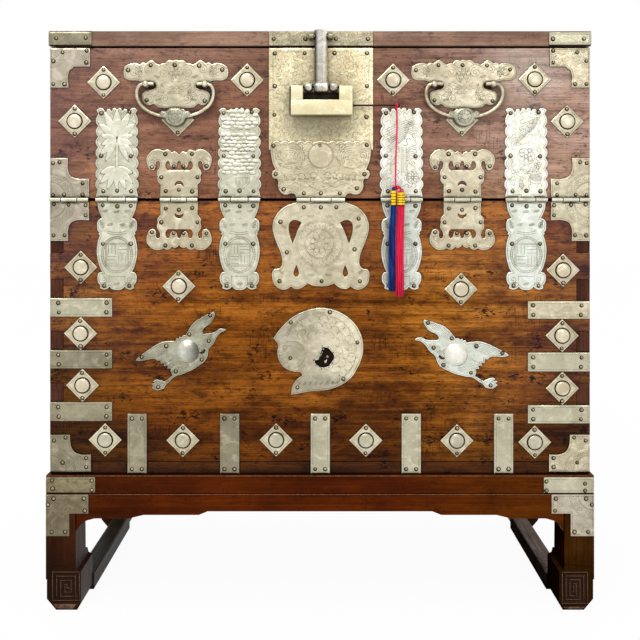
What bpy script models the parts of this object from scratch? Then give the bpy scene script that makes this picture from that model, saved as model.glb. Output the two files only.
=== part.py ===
"""Korean bandaji chest on a stand: boards, nine knuckled hinges, hasp, sliding padlock and bail handles.

Metres, +Z up, the front faces -Y. The floor is z = 0 and the chest stands over the middle of the origin.
"""
import math

import bmesh
import bpy
from mathutils import Matrix, Vector
from mathutils.geometry import delaunay_2d_cdt

# Drawing unit of the fitting outlines, in metres
GRID = 0.001648

# Carcass
WIDTH = 540 * GRID
DEPTH = 0.440
BOARD = 0.022
BACK_BOARD = 0.018
TOP_OVERHANG = 0.002
GAP = 0.0003
EDGE_INSET = 0.0008
FINGERS = 10

# Heights: each board stands on the one below it
STAND_TOP = 134 * GRID
BOTTOM_BOARD = 13 * GRID
PANEL_HEIGHT = 261.5 * GRID
FLAP_HEIGHT = 151.7 * GRID
FLAP_CLEAR = 0.0021
TOP_CLEAR = 1.8 * GRID
TOP_BOARD = 15 * GRID
BOTTOM_TOP = STAND_TOP + BOTTOM_BOARD
HINGE_Z = BOTTOM_TOP + PANEL_HEIGHT
FLAP_TOP = HINGE_Z + FLAP_HEIGHT
TOP_UNDER = FLAP_TOP + TOP_CLEAR
TOP_Z = TOP_UNDER + TOP_BOARD

# The chest's ends, its hinge line and its stand in drawing units
END = WIDTH / 2 / GRID
LINE = HINGE_Z / GRID
BASE = STAND_TOP / GRID
FLAP_EDGE = FLAP_TOP / GRID
TOP_EDGE = TOP_UNDER / GRID

# Stand
STAND_WIDTH = 546.5 * GRID
STAND_LIP = 0.0054
RAIL_HEIGHT = 18.6 * GRID
RAIL_UNDER = STAND_TOP - RAIL_HEIGHT
RAIL_DEPTH = 0.060
APRON_TOP = RAIL_UNDER - GAP
APRON = 0.024
LEG_WIDTH = 30 * GRID
LEG_DEPTH = 0.064
FOOT_LIP = 0.001
FOOT_WIDTH = 35 * GRID
FOOT_DEPTH = 0.078
FOOT_TOP = 38 * GRID
RUNNER_WIDTH = 0.031
RUNNER_HEIGHT = 0.029
RUNNER_INSIDE = 0.390

# Sheet fittings
PLATE = 0.0015
SET_IN = 0.0004
BOSS_RADIUS = 7.9
BOSS_HEIGHT = 0.0052
DIAMOND_REACH = 16.5

# Hinge barrels: the axis stands in front of the boards
BARREL = 0.0034
PIN = 0.0016
PIN_BORE = 0.0020
AXIS_Y = -(BARREL + GAP)
KNUCKLE_GAP = 0.0003

# Lock set: x from the chest's middle and heights in drawing units, depths in metres
LOCK_X = 1.0
LOCK_PLATE_HALF = 52.0
ROD_DROP = 40.7
ROD_Z = FLAP_EDGE - ROD_DROP
ROD_Y = -0.0200
ROD = 0.0024
ROD_BORE = ROD + 0.0004
CASE_HALF = 31.0
CASE_DROP = 11.9
CASE_HEIGHT = 15.8
CASE_Z = (ROD_Z - CASE_DROP - CASE_HEIGHT, ROD_Z - CASE_DROP)
CASE_DEPTH = 0.0230
CASE_Y = (ROD_Y - CASE_DEPTH / 2, ROD_Y + CASE_DEPTH / 2)
BLOCK_RISE = 2.7
BLOCK_TOP = ROD_Z + BLOCK_RISE
BLOCK_INNER = 17.8
KEY_RISE = 9.7
KEY_Z = CASE_Z[0] + KEY_RISE
KEY_Y = ROD_Y
KEY = 0.0015
KEY_REACH = 76.0
KEY_TIP = LOCK_X + KEY_REACH
HASP_PIN_Y = -0.0130
HASP_PIN_RISE = 8.6
HASP_PIN_Z = TOP_EDGE + HASP_PIN_RISE
HASP_PIN = 0.0022
HASP_TOP = TOP_Z / GRID - 0.6
HASP_HALF = 6.6

# Handles
HANDLES = {"left": -144.0, "right": 143.5}
POST_DROP = 36.7
POST_Z = FLAP_EDGE - POST_DROP
POST_X = 29.5
POST_Y = -0.0090
POST_BALL = 0.0054
BAIL_ROD = 0.0028
POST_BORE = BAIL_ROD + 0.0004

# The furthest point to the front is the padlock, to the back the feet
FRONT_Y = (-CASE_Y[0] - DEPTH - STAND_LIP - FOOT_LIP) / 2

# Colour, roughness and metallic value of each finish
FINISHES = {
    "top_wood": ((0.16, 0.075, 0.045), 0.45, 0.0),
    "flap_wood": ((0.27, 0.105, 0.060), 0.42, 0.0),
    "panel_wood": ((0.26, 0.085, 0.018), 0.42, 0.0),
    "side_wood": ((0.10, 0.045, 0.028), 0.50, 0.0),
    "stand_wood": ((0.095, 0.030, 0.008), 0.38, 0.0),
    "white_brass": ((0.62, 0.58, 0.46), 0.34, 1.0),
    "iron": ((0.045, 0.042, 0.040), 0.50, 1.0),
    "red_silk": ((0.62, 0.03, 0.08), 0.70, 0.0),
    "blue_silk": ((0.012, 0.035, 0.20), 0.70, 0.0),
}

# Outlines: right half from the middle line, drawing units, heights from the hinge line

LONG_LOWER = [
    (19.5, -2.6), (19.0, -8.0), (17.0, -14.0), (14.8, -18.4), (17.6, -19.4), (19.6, -22.0), (19.9, -27.0),
    (19.2, -31.2), (17.6, -32.6), (18.6, -33.8), (17.2, -35.6), (18.7, -40.0), (19.9, -46.0), (20.3, -51.5),
    (19.8, -57.5), (18.4, -63.5), (16.6, -69.0), (14.8, -72.2), (17.6, -72.8), (19.4, -75.5), (19.7, -79.0),
    (18.8, -83.0), (16.8, -85.6), (17.0, -88.6), (13.4, -89.8), (9.6, -89.0), (7.5, -87.0), (5.0, -89.4),
    (0.0, -90.3),
]
FRET_UPPER = [
    (18.7, 2.6), (18.4, 15.2), (20.4, 17.0), (21.8, 20.0), (21.3, 23.0), (22.2, 26.0), (21.5, 29.3),
    (20.2, 31.0), (19.0, 34.5), (19.3, 37.4), (21.0, 38.9), (22.8, 37.8), (23.3, 35.3), (22.9, 32.6),
    (24.2, 30.2), (26.8, 29.2), (29.6, 30.6), (31.2, 33.6), (32.6, 38.5), (32.2, 43.0), (29.8, 46.4),
    (26.5, 49.2), (22.5, 50.4), (18.4, 50.0), (15.6, 48.6), (12.5, 50.0), (9.0, 49.2), (7.3, 47.2),
    (4.6, 48.4), (1.6, 47.0), (0.0, 45.0),
]
FRET_OPENING = [
    (0.0, 29.6), (11.4, 29.6), (13.1, 31.6), (13.2, 36.6), (11.6, 38.6), (9.6, 37.8), (8.9, 34.6),
    (7.6, 32.2),
    (5.4, 31.4), (3.2, 32.4), (2.0, 35.0), (1.4, 38.0), (0.0, 38.4),
]
FRET_CRESCENT = [(0.0, 15.4), (2.3, 14.9), (4.4, 13.4), (4.1, 16.0), (2.4, 18.0), (0.0, 18.7)]
CENTRE_UPPER = [
    (24.2, 2.6), (26.2, 5.8), (29.5, 6.6), (33.5, 5.2), (37.5, 5.6), (41.0, 9.0), (42.6, 13.5), (42.2, 18.3),
    (43.6, 20.8), (47.0, 21.2), (48.8, 24.5), (48.2, 28.0), (45.2, 30.2), (48.0, 36.5), (49.3, 42.5),
    (49.8, 52.5), (48.6, 56.8),
]
CENTRE_LOWER = [
    (24.5, -2.6), (29.0, -4.2), (34.5, -6.2), (40.0, -10.0), (45.0, -16.0), (47.5, -22.0), (48.3, -27.0),
    (47.5, -33.0), (45.5, -39.5), (43.0, -46.0), (40.5, -52.0), (38.8, -58.0), (38.7, -64.0), (39.8, -67.0),
    (42.5, -69.0), (46.5, -69.6), (48.3, -72.0), (48.6, -78.0), (46.8, -84.0), (43.0, -88.0), (38.0, -90.0),
    (33.0, -89.0), (29.8, -86.7), (26.0, -89.2), (21.0, -88.9), (16.5, -86.5), (13.2, -83.6), (8.0, -85.8),
    (0.0, -86.6),
]
CENTRE_OPENING = [
    (19.2, -23.0), (23.0, -20.8), (27.5, -20.5), (31.0, -23.0), (32.0, -28.5), (31.0, -35.0), (28.2, -44.0),
    (25.5, -36.5), (22.5, -29.0),
]
CENTRE_DROP = [
    (24.3, -65.2), (26.4, -70.0), (27.2, -74.0), (25.5, -77.0), (23.3, -77.0), (22.0, -74.0), (22.6, -70.0),
]

# Outlines of the corner hinges and corner plates: inward from the chest's end, heights from the hinge line
CORNER_UPPER = [
    (0.2, 2.6), (39.2, 2.6), (39.2, 21.0), (25.5, 21.4), (21.4, 23.2), (18.8, 27.2), (18.2, 41.6),
    (0.2, 41.6),
]
CORNER_LOWER = [
    (0.2, -2.6), (39.2, -2.6), (39.2, -20.6), (25.5, -20.9), (21.4, -22.8), (19.0, -26.8), (18.4, -41.2),
    (0.2, -41.2),
]
# The flap corner's heights are from the flap's upper edge
FLAP_CORNER = [
    (0.2, -0.4), (40.2, -0.4), (40.2, -18.7), (24.2, -18.7), (22.6, -20.7), (20.2, -22.1), (19.0, -24.3),
    (18.8, -39.7), (0.2, -39.7),
]
# The base corner's heights are from the stand's top, the leg corner's from under its rail
BASE_CORNER = [
    (0.4, 2.5), (41.0, 2.5), (41.0, 19.9), (30.0, 19.9), (24.6, 22.5), (21.4, 27.5), (20.4, 33.9),
    (20.2, 39.5),
    (0.4, 39.5),
]
LEG_CORNER = [
    (0.3, -0.5), (42.6, -0.5), (42.6, -19.5), (23.6, -19.5), (23.6, -41.9), (0.3, -41.9),
]

# Handle plate: right half from the middle line, heights from the bail's axis
HANDLE_PLATE = [
    (0.0, -23.3), (14.0, -23.4), (18.5, -22.5), (20.8, -20.2), (22.8, -19.2), (26.0, -20.8), (30.5, -19.6),
    (33.6, -15.0), (34.0, -9.5), (31.0, -6.4), (25.0, -4.8), (20.6, -3.4), (19.8, -0.5), (21.6, 2.0),
    (26.0, 2.5), (33.0, 2.5), (38.0, 4.0), (47.5, 4.6), (51.2, 7.0), (52.3, 12.5), (51.2, 18.0), (48.0, 20.0),
    (43.5, 21.4), (38.5, 21.2), (36.2, 20.0), (33.5, 21.8), (29.8, 21.2), (26.5, 23.8), (24.2, 24.8),
    (22.0, 23.4), (19.5, 21.2), (16.5, 19.8), (14.5, 21.0), (10.5, 21.4), (9.0, 23.4), (6.0, 24.6),
    (3.0, 24.0),
    (0.0, 24.8),
]
BAIL_PATH = [
    (21.5, 0.0), (32.4, 0.0), (35.4, -1.4), (37.4, -4.6), (38.2, -9.4), (37.2, -15.2), (33.6, -21.4),
    (27.4, -26.6), (19.0, -30.4), (9.0, -32.6), (0.0, -33.2),
]
TURTLE = [
    (0.0, -23.8), (5.4, -24.6), (9.4, -27.4), (13.6, -27.0), (16.2, -29.4), (14.8, -32.4), (10.6, -33.8),
    (8.6, -38.0), (4.8, -41.2), (0.0, -42.2),
]

# Bird plate: from the dome's middle
BIRD_DOME_RADIUS = 9.4
BIRD = [
    (38.3, 22.0), (32.0, 22.6), (26.5, 19.2), (20.0, 17.8), (15.6, 17.2), (14.2, 19.8), (16.2, 23.2),
    (22.6, 27.6), (25.2, 32.0), (26.9, 38.0), (26.0, 39.6), (20.0, 37.0), (14.6, 34.2), (8.0, 30.4),
    (3.0, 25.0), (-0.6, 18.8), (-2.0, 16.0), (-5.2, 15.8), (-6.6, 13.8), (-8.4, 15.0), (-9.2, 12.4),
    (-11.2, 13.2), (-12.6, 10.0), (-16.0, 10.2), (-20.6, 10.0), (-26.0, 9.2), (-32.0, 6.4), (-40.0, 1.0),
    (-47.0, -4.0), (-51.0, -7.6), (-52.0, -9.2), (-46.0, -9.6), (-39.6, -8.2), (-33.0, -7.8), (-30.4, -9.4),
    (-27.4, -9.0), (-27.0, -12.4), (-23.4, -11.8), (-24.0, -14.8), (-19.8, -14.2), (-20.8, -17.4),
    (-17.0, -17.2), (-17.0, -20.4), (-15.2, -24.0), (-23.0, -30.4), (-26.6, -29.2), (-33.4, -28.8),
    (-35.0, -30.2), (-32.2, -31.8), (-36.8, -32.4), (-34.4, -34.8), (-36.4, -36.4), (-31.2, -39.0),
    (-24.0, -37.2), (-22.4, -34.2), (-17.4, -29.4), (-11.8, -24.6), (-6.8, -23.4), (-2.0, -21.4),
    (4.0, -18.8),
    (10.0, -15.0), (15.0, -11.5), (18.5, -7.5), (20.0, -3.0), (20.5, 1.0), (22.5, 4.2), (26.0, 8.2),
    (28.0, 12.6), (30.4, 16.2), (33.6, 19.2), (38.3, 20.8),
]
BIRDS = {"left": (-132.0, LINE - 151.5, 1.0, 0.0), "right": (136.0, LINE - 154.9, -1.0, 9.0)}

# Tortoise plate: from the middle of its shell, with a worn-through boss
TORTOISE_AT = (1.0, LINE - 150.5)
TORTOISE = [
    (-47.7, 12.0), (-39.4, 23.0), (-29.2, 32.6), (-15.0, 39.6), (0.0, 42.4), (14.0, 40.0), (27.0, 33.0),
    (37.0, 22.0), (42.0, 6.4), (41.6, -4.0), (37.0, -16.5), (29.5, -28.0), (18.0, -35.7), (9.0, -39.0),
    (-10.0, -41.0), (-30.0, -44.6), (-28.5, -35.7), (-24.0, -29.0), (-18.6, -25.2), (-20.6, -22.4),
    (-26.5, -21.4),
    (-33.0, -19.6), (-39.0, -15.0), (-42.8, -8.0), (-43.6, -1.0), (-42.6, 5.0),
]
TORTOISE_TEAR = [
    (1.4, 3.4), (6.6, 2.0), (11.4, -2.6), (12.6, -6.8), (10.4, -11.8), (7.0, -15.6), (1.0, -16.8),
    (-4.2, -14.2),
    (-6.6, -9.4), (-2.0, -8.6), (-0.6, -3.2),
]

# Places: x from the chest's middle, height above the floor, drawing units
LONG_HINGES = (-202.8, -80.5, 81.5, 206.0)
FRET_HINGES = (-140.8, 142.1)
CENTRE_HINGE = 0.8
FLAP_DIAMONDS = [
    (53.8 - END, LINE + 117.3), (24.9 - END, LINE + 78.5), (-72.8, LINE + 119.6), (73.2, LINE + 119.5),
    (END - 55.4, LINE + 120.2), (END - 23.0, LINE + 78.1),
]
STRIKE_DROP = 35.3
STRIKE_DIAMONDS = [(HANDLES["left"] + 2.0, POST_Z - STRIKE_DROP),
                   (HANDLES["right"] - 1.5, POST_Z - STRIKE_DROP)]
PANEL_DIAMONDS = [
    (31.0 - END, LINE - 67.5), (-141.0, LINE - 86.5), (141.0, LINE - 89.5), (END - 27.0, LINE - 70.5),
    (30.8 - END, LINE - 133.7), (32.7 - END, LINE - 185.5), (END - 28.0, LINE - 135.9),
    (END - 27.8, LINE - 188.5),
    (55.3 - END, BASE + 34.5), (-137.0, BASE + 34.0), (-43.8, BASE + 34.4), (45.8, BASE + 34.0),
    (136.8, BASE + 33.7), (END - 55.4, BASE + 32.2),
]
# Lower and upper edges of the straps, from the hinge line
SIDE_STRAPS = {"left": [(-116.8, -98.5), (-168.6, -150.5), (-221.1, -202.4)],
               "right": [(-119.0, -101.5), (-171.6, -152.8), (-223.5, -205.4)]}
SIDE_STRAP_INSET = 0.2
SIDE_STRAP_LENGTH = 62.0
BASE_STRAPS = (-182.8, -90.3, 0.3, 91.2, 183.5)
BASE_STRAP_HALF = 9.5
BASE_STRAP_LOW = 0.8
BASE_STRAP_LENGTH = 59.7


def mirrored(half):
    """Full outline from the right half that starts or ends on the middle line."""
    left = [(-x, z) for x, z in reversed(half) if abs(x) > 1e-6]
    return half + left


def drawn(points, x=0.0, z=0.0, flip=1.0, turn=0.0):
    """Outline in metres from drawing units, mirrored, turned and set at a place on the front."""
    cosine = math.cos(math.radians(turn))
    sine = math.sin(math.radians(turn))
    placed = []
    for u, v in points:
        across = flip * u
        placed.append(((x + across * cosine - v * sine) * GRID, (z + across * sine + v * cosine) * GRID))
    return placed


def scallops(start, end, count, depth):
    """Points of a row of shallow lobes from start towards end; they swell to the left of the way."""
    run = Vector((end[0] - start[0], end[1] - start[1]))
    out = Vector((-run.y, run.x)).normalized() * depth
    points = []
    for i in range(count):
        for part, swell in ((0.0, 0.0), (0.28, 0.86), (0.72, 0.86)):
            p = Vector(start) + run * ((i + part) / count) + out * swell
            points.append((p.x, p.y))
    return points


def circle(radius, count, u=0.0, v=0.0):
    return [(u + radius * math.cos(2 * math.pi * i / count), v + radius * math.sin(2 * math.pi * i / count))
            for i in range(count)]


def rectangle(low_u, low_v, high_u, high_v):
    return [(low_u, low_v), (high_u, low_v), (high_u, high_v), (low_u, high_v)]


def place(axis, u, v, w):
    """Point from two outline coordinates, (y, z), (x, z) or (x, y), and one along the axis."""
    if axis == "X":
        return (w, u, v)
    if axis == "Y":
        return (u, w, v)
    return (u, v, w)


def inside(point, loop):
    """Whether a flat point lies within a closed loop."""
    within = False
    for (u0, v0), (u1, v1) in zip(loop, loop[1:] + loop[:1]):
        if (v0 > point.y) != (v1 > point.y):
            if point.x < u0 + (u1 - u0) * (point.y - v0) / (v1 - v0):
                within = not within
    return within


def filled(loops):
    """Triangles that fill the first loop and leave the others open, as places in the flat list of points."""
    points = [Vector(point) for loop in loops for point in loop]
    edges = []
    start = 0
    for loop in loops:
        edges += [(start + i, start + (i + 1) % len(loop)) for i in range(len(loop))]
        start += len(loop)
    verts, _, faces, origins, _, _ = delaunay_2d_cdt(points, edges, [], 1, 1e-7)
    kept = []
    for face in faces:
        middle = (verts[face[0]] + verts[face[1]] + verts[face[2]]) / 3
        if not any(inside(middle, hole) for hole in loops[1:]):
            kept.append([origins[i][0] for i in face])
    return kept


def prism(outline, low, high, axis="Y", holes=()):
    """Closed prism from a flat outline with holes, run from low to high along the axis."""
    loops = [outline] + list(holes)
    flat = [point for loop in loops for point in loop]
    mesh = bmesh.new()
    near = [mesh.verts.new(place(axis, u, v, low)) for u, v in flat]
    far = [mesh.verts.new(place(axis, u, v, high)) for u, v in flat]
    for a, b, c in filled(loops):
        mesh.faces.new((near[a], near[b], near[c]))
        mesh.faces.new((far[c], far[b], far[a]))
    start = 0
    for loop in loops:
        for i in range(len(loop)):
            a = start + i
            b = start + (i + 1) % len(loop)
            mesh.faces.new((near[a], near[b], far[b], far[a]))
        start += len(loop)
    bmesh.ops.recalc_face_normals(mesh, faces=mesh.faces[:])
    return mesh


def box(x, y, z, chamfer=0.0):
    """Board from three (low, high) ranges, its edges chamfered."""
    mesh = prism(rectangle(x[0], z[0], x[1], z[1]), y[0], y[1])
    if chamfer > 0.0:
        bmesh.ops.dissolve_limit(mesh, angle_limit=0.01, verts=mesh.verts[:], edges=mesh.edges[:])
        bmesh.ops.bevel(mesh, geom=mesh.edges[:], offset=chamfer, segments=1, affect="EDGES")
    return mesh


def rings_to_mesh(rings):
    """Closed skin over rings of equal length, capped at both ends."""
    mesh = bmesh.new()
    rows = [[mesh.verts.new(point) for point in ring] for ring in rings]
    count = len(rings[0])
    for row, following in zip(rows, rows[1:]):
        for i in range(count):
            j = (i + 1) % count
            mesh.faces.new((row[i], row[j], following[j], following[i]))
    mesh.faces.new(list(reversed(rows[0])))
    mesh.faces.new(rows[-1])
    bmesh.ops.recalc_face_normals(mesh, faces=mesh.faces[:])
    return mesh


def lathe(profile, axis, u, v, count):
    """Round solid about a line along the axis through (u, v); the profile lists (along, radius)."""
    return rings_to_mesh([[place(axis, a, b, along) for a, b in circle(radius, count, u, v)]
                          for along, radius in profile])


def tube(path, radius, count):
    """Round rod along a path of points."""
    points = [Vector(p) for p in path]
    tangents = []
    for i in range(len(points)):
        before = points[max(i - 1, 0)]
        after = points[min(i + 1, len(points) - 1)]
        tangents.append((after - before).normalized())
    side = tangents[0].orthogonal().normalized()
    rings = []
    for point, tangent in zip(points, tangents):
        side = (side - tangent * side.dot(tangent)).normalized()
        other = tangent.cross(side)
        rings.append([tuple(point + (side * math.cos(a) + other * math.sin(a)) * radius)
                      for a in (2 * math.pi * i / count for i in range(count))])
    return rings_to_mesh(rings)


def domed_plate(outline, middle, radius, height, back, front, count=10, holes=()):
    """Sheet plate with a hollow-looking round boss raised on its front, as one closed body."""
    mesh = bmesh.new()
    ring = circle(radius, count, middle[0], middle[1])
    loops = [outline, ring] + list(holes)
    flat = [point for loop in loops for point in loop]
    rim = len(outline)
    fronts = [mesh.verts.new((u, front, v)) for u, v in flat]
    for a, b, c in filled(loops):
        mesh.faces.new((fronts[a], fronts[b], fronts[c]))
    plain = [outline] + list(holes)
    backs = {}
    for index, (u, v) in enumerate(flat):
        if not rim <= index < rim + count:
            backs[index] = mesh.verts.new((u, back, v))
    keys = list(backs)
    for a, b, c in filled(plain):
        mesh.faces.new((backs[keys[c]], backs[keys[b]], backs[keys[a]]))
    start = 0
    for loop in loops:
        if loop is not ring:
            for i in range(len(loop)):
                a = start + i
                b = start + (i + 1) % len(loop)
                mesh.faces.new((fronts[a], fronts[b], backs[b], backs[a]))
        start += len(loop)
    row = fronts[rim:rim + count]
    for angle in (38.0, 66.0):
        shrink = math.cos(math.radians(angle))
        rise = math.sin(math.radians(angle))
        following = [mesh.verts.new((u, front - height * rise, v))
                     for u, v in circle(radius * shrink, count, middle[0], middle[1])]
        for i in range(count):
            j = (i + 1) % count
            mesh.faces.new((row[i], row[j], following[j], following[i]))
        row = following
    mesh.faces.new(row)
    bmesh.ops.recalc_face_normals(mesh, faces=mesh.faces[:])
    return mesh


def together(meshes):
    """One mesh holding several bodies that do not touch, for use as a single tool."""
    joined = bmesh.new()
    for mesh in meshes:
        moved = {vert: joined.verts.new(vert.co) for vert in mesh.verts}
        for face in mesh.faces:
            joined.faces.new([moved[vert] for vert in face.verts])
        mesh.free()
    return joined


def thing(name, mesh):
    """Named object from a mesh."""
    data = bpy.data.meshes.new(name)
    mesh.to_mesh(data)
    mesh.free()
    made = bpy.data.objects.new(name, data)
    bpy.context.scene.collection.objects.link(made)
    return made


def combine(target, mesh, operation):
    """Join a mesh to the target, or cut it away, and keep the result as plain faces."""
    tool = thing("tool", mesh)
    step = target.modifiers.new(operation.title(), "BOOLEAN")
    step.operation = operation
    step.solver = "EXACT"
    step.object = tool
    bpy.context.view_layer.update()
    graph = bpy.context.evaluated_depsgraph_get()
    data = bpy.data.meshes.new_from_object(target.evaluated_get(graph))
    data.name = target.name
    target.modifiers.remove(step)
    target.data = data
    bpy.data.objects.remove(tool)


def finish(name):
    """Material by name, made once."""
    found = bpy.data.materials.get(name)
    if found:
        return found
    colour, roughness, metallic = FINISHES[name]
    made = bpy.data.materials.new(name)
    made.use_nodes = True
    shader = made.node_tree.nodes["Principled BSDF"]
    shader.inputs["Base Color"].default_value = (*colour, 1.0)
    shader.inputs["Roughness"].default_value = roughness
    shader.inputs["Metallic"].default_value = metallic
    return made


def body(name, parent, x=0.0, y=-FRONT_Y, z=0.0):
    """Empty on a moving body's axis, under the body that carries it."""
    made = bpy.data.objects.new(name, None)
    bpy.context.scene.collection.objects.link(made)
    made.empty_display_size = 0.03
    at = Vector((x, y + FRONT_Y, z))
    made["at"] = at
    made.location = at
    if parent:
        made.parent = bpy.data.objects[parent]
        made.location = at - Vector(made.parent["at"])
    return made


def part(name, mesh, joined=(), cut=(), on="carcass_body", look="white_brass"):
    """Finished piece: a mesh with others joined on and cut away, set on the body that carries it."""
    made = thing(name, mesh)
    for other in joined:
        combine(made, other, "UNION")
    for other in cut:
        combine(made, other, "DIFFERENCE")
    carrier = bpy.data.objects[on]
    at = Vector(carrier["at"])
    made.data.transform(Matrix.Translation(Vector((0.0, FRONT_Y, 0.0)) - at))
    made.parent = carrier
    made.data.materials.clear()
    made.data.materials.append(finish(look))
    made.data.shade_smooth()
    made.data.set_sharp_from_angle(angle=math.radians(32.0))
    return made


def sheet(outline, holes=(), front=-(GAP + PLATE), back=-GAP):
    return prism(outline, front, back, holes=holes)


def strap(x, z, front=-(GAP + PLATE), back=SET_IN):
    """Strap drawn as (low, high) ranges in drawing units."""
    return box((x[0] * GRID, x[1] * GRID), (front, back), (z[0] * GRID, z[1] * GRID))


def diamond(x, z, boss=True):
    reach = DIAMOND_REACH
    outline = drawn([(0, -reach), (reach, 0), (0, reach), (-reach, 0)], x, z)
    if not boss:
        # The upper tip is cut off under the handle plate
        outline = drawn([(0, -reach), (reach, 0), (reach - 11, 11), (11 - reach, 11), (-reach, 0)], x, z)
        return prism(outline, -(GAP + PLATE), SET_IN)
    middle = (x * GRID, z * GRID)
    return domed_plate(outline, middle, BOSS_RADIUS * GRID, BOSS_HEIGHT, SET_IN, -(GAP + PLATE))


def tongued(outline, edge, spans, reach):
    """Leaf outline whose straight barrel edge, from its last point to its first, gets tongues."""
    points = list(outline)
    for low, high in spans:
        points += [(low, edge), (low, reach), (high, reach), (high, edge)]
    return points


def hinge(name, middle, half, upper, lower, upper_holes=(), lower_holes=(), front=-(GAP + PLATE),
          reach=0.0010):
    """Two leaves on one barrel; the lower leaf holds the outer knuckles and the pin."""
    low = (middle - half) * GRID
    high = (middle + half) * GRID
    first = low + 0.29 * (high - low)
    second = high - 0.29 * (high - low)
    spans = [(first + 0.001, second - 0.001)]
    ends = [(low + 0.001, first - 0.001), (second + 0.001, high - 0.001)]
    edge = HINGE_Z + BARREL + GAP + 0.0002
    under = HINGE_Z - BARREL - GAP - 0.0002
    leaf = [(x, max(z, edge)) for x, z in upper]
    knuckle = prism(circle(BARREL, 10, AXIS_Y, HINGE_Z), first + KNUCKLE_GAP, second - KNUCKLE_GAP, "X")
    bore = prism(circle(PIN_BORE, 8, AXIS_Y, HINGE_Z), first - 0.001, second + 0.001, "X")
    plate = sheet(tongued(leaf, edge, spans, HINGE_Z + reach), upper_holes, front, front + PLATE)
    part(name + "_upper_leaf", plate, [knuckle], [bore], "flap_body")
    leaf = [(x, min(z, under)) for x, z in lower]
    barrel = lathe([(low, BARREL), (first, BARREL), (first, PIN), (second, PIN), (second, BARREL),
                    (high, BARREL)],
                   "X", AXIS_Y, HINGE_Z, 10)
    plate = sheet(tongued(leaf, under, ends, HINGE_Z - 0.0010), lower_holes)
    part(name + "_lower_leaf", plate, [barrel])


def make_carcass():
    half = WIDTH / 2
    side = half - BOARD
    panel_top = HINGE_Z - FLAP_CLEAR
    panel_low = BOTTOM_TOP + GAP
    step = (panel_top - panel_low) / FINGERS
    levels = [panel_low + step * i for i in range(FINGERS + 1)]

    top = box((-half - TOP_OVERHANG, half + TOP_OVERHANG), (-TOP_OVERHANG, DEPTH), (TOP_UNDER, TOP_Z), 0.0015)
    back = -TOP_OVERHANG + SET_IN
    front = -TOP_OVERHANG - GAP - PLATE
    corner_straps = [strap((-END - 0.8, 42.0 - END), (TOP_EDGE + 1.2, TOP_EDGE + 14.0), front, back),
                     strap((END - 41.2, END + 0.8), (TOP_EDGE + 1.2, TOP_EDGE + 13.6), front, back)]
    part("top_board", top, [together(corner_straps)], look="top_wood")

    part("bottom_board", box((-half, half), (EDGE_INSET, DEPTH), (STAND_TOP + GAP, BOTTOM_TOP), 0.001),
         look="side_wood")
    part("back_board",
         box((-side + GAP, side - GAP), (DEPTH - BACK_BOARD, DEPTH), (panel_low, TOP_UNDER - GAP)),
         look="side_wood")

    # Side fingers fill every second step, so the panel keeps the top corner
    sides = [(DEPTH, panel_low), (DEPTH, TOP_UNDER - GAP), (BOARD + GAP, TOP_UNDER - GAP)]
    for i in reversed(range(FINGERS)):
        if i % 2 == 0:
            low = levels[i] + (GAP if i > 0 else 0.0)
            high = levels[i + 1] - GAP
            sides += [(BOARD + GAP, high), (EDGE_INSET, high), (EDGE_INSET, low), (BOARD + GAP, low)]
    sides = sides[:-1]
    part("left_side_board", prism(sides, -half, -side, "X"), look="side_wood")
    part("right_side_board", prism(sides, side, half, "X"), look="side_wood")

    ends = []
    for i in range(FINGERS):
        depth = BOARD + GAP if i % 2 == 0 else 0.0
        ends += [(half - depth, levels[i]), (half - depth, levels[i + 1])]
    panel = prism(ends + [(-x, z) for x, z in reversed(ends)], 0.0, BOARD)
    fittings = [diamond(x, z) for x, z in PANEL_DIAMONDS]
    outer = END - SIDE_STRAP_INSET
    for low, high in SIDE_STRAPS["left"]:
        fittings.append(strap((-outer, SIDE_STRAP_LENGTH - outer), (LINE + low, LINE + high)))
    for low, high in SIDE_STRAPS["right"]:
        fittings.append(strap((outer - SIDE_STRAP_LENGTH, outer), (LINE + low, LINE + high)))
    low = BASE + BASE_STRAP_LOW
    for x in BASE_STRAPS:
        fittings.append(strap((x - BASE_STRAP_HALF, x + BASE_STRAP_HALF), (low, low + BASE_STRAP_LENGTH)))
    part("lower_front_panel", panel, [together(fittings)], look="panel_wood")

    flap = box((-half, half), (0.0, BOARD), (HINGE_Z + FLAP_CLEAR, FLAP_TOP), 0.001)
    fittings = [diamond(x, z) for x, z in FLAP_DIAMONDS]
    fittings += [diamond(x, z, boss=False) for x, z in STRIKE_DIAMONDS]
    part("flap_board", flap, [together(fittings)], on="flap_body", look="flap_wood")


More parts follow.
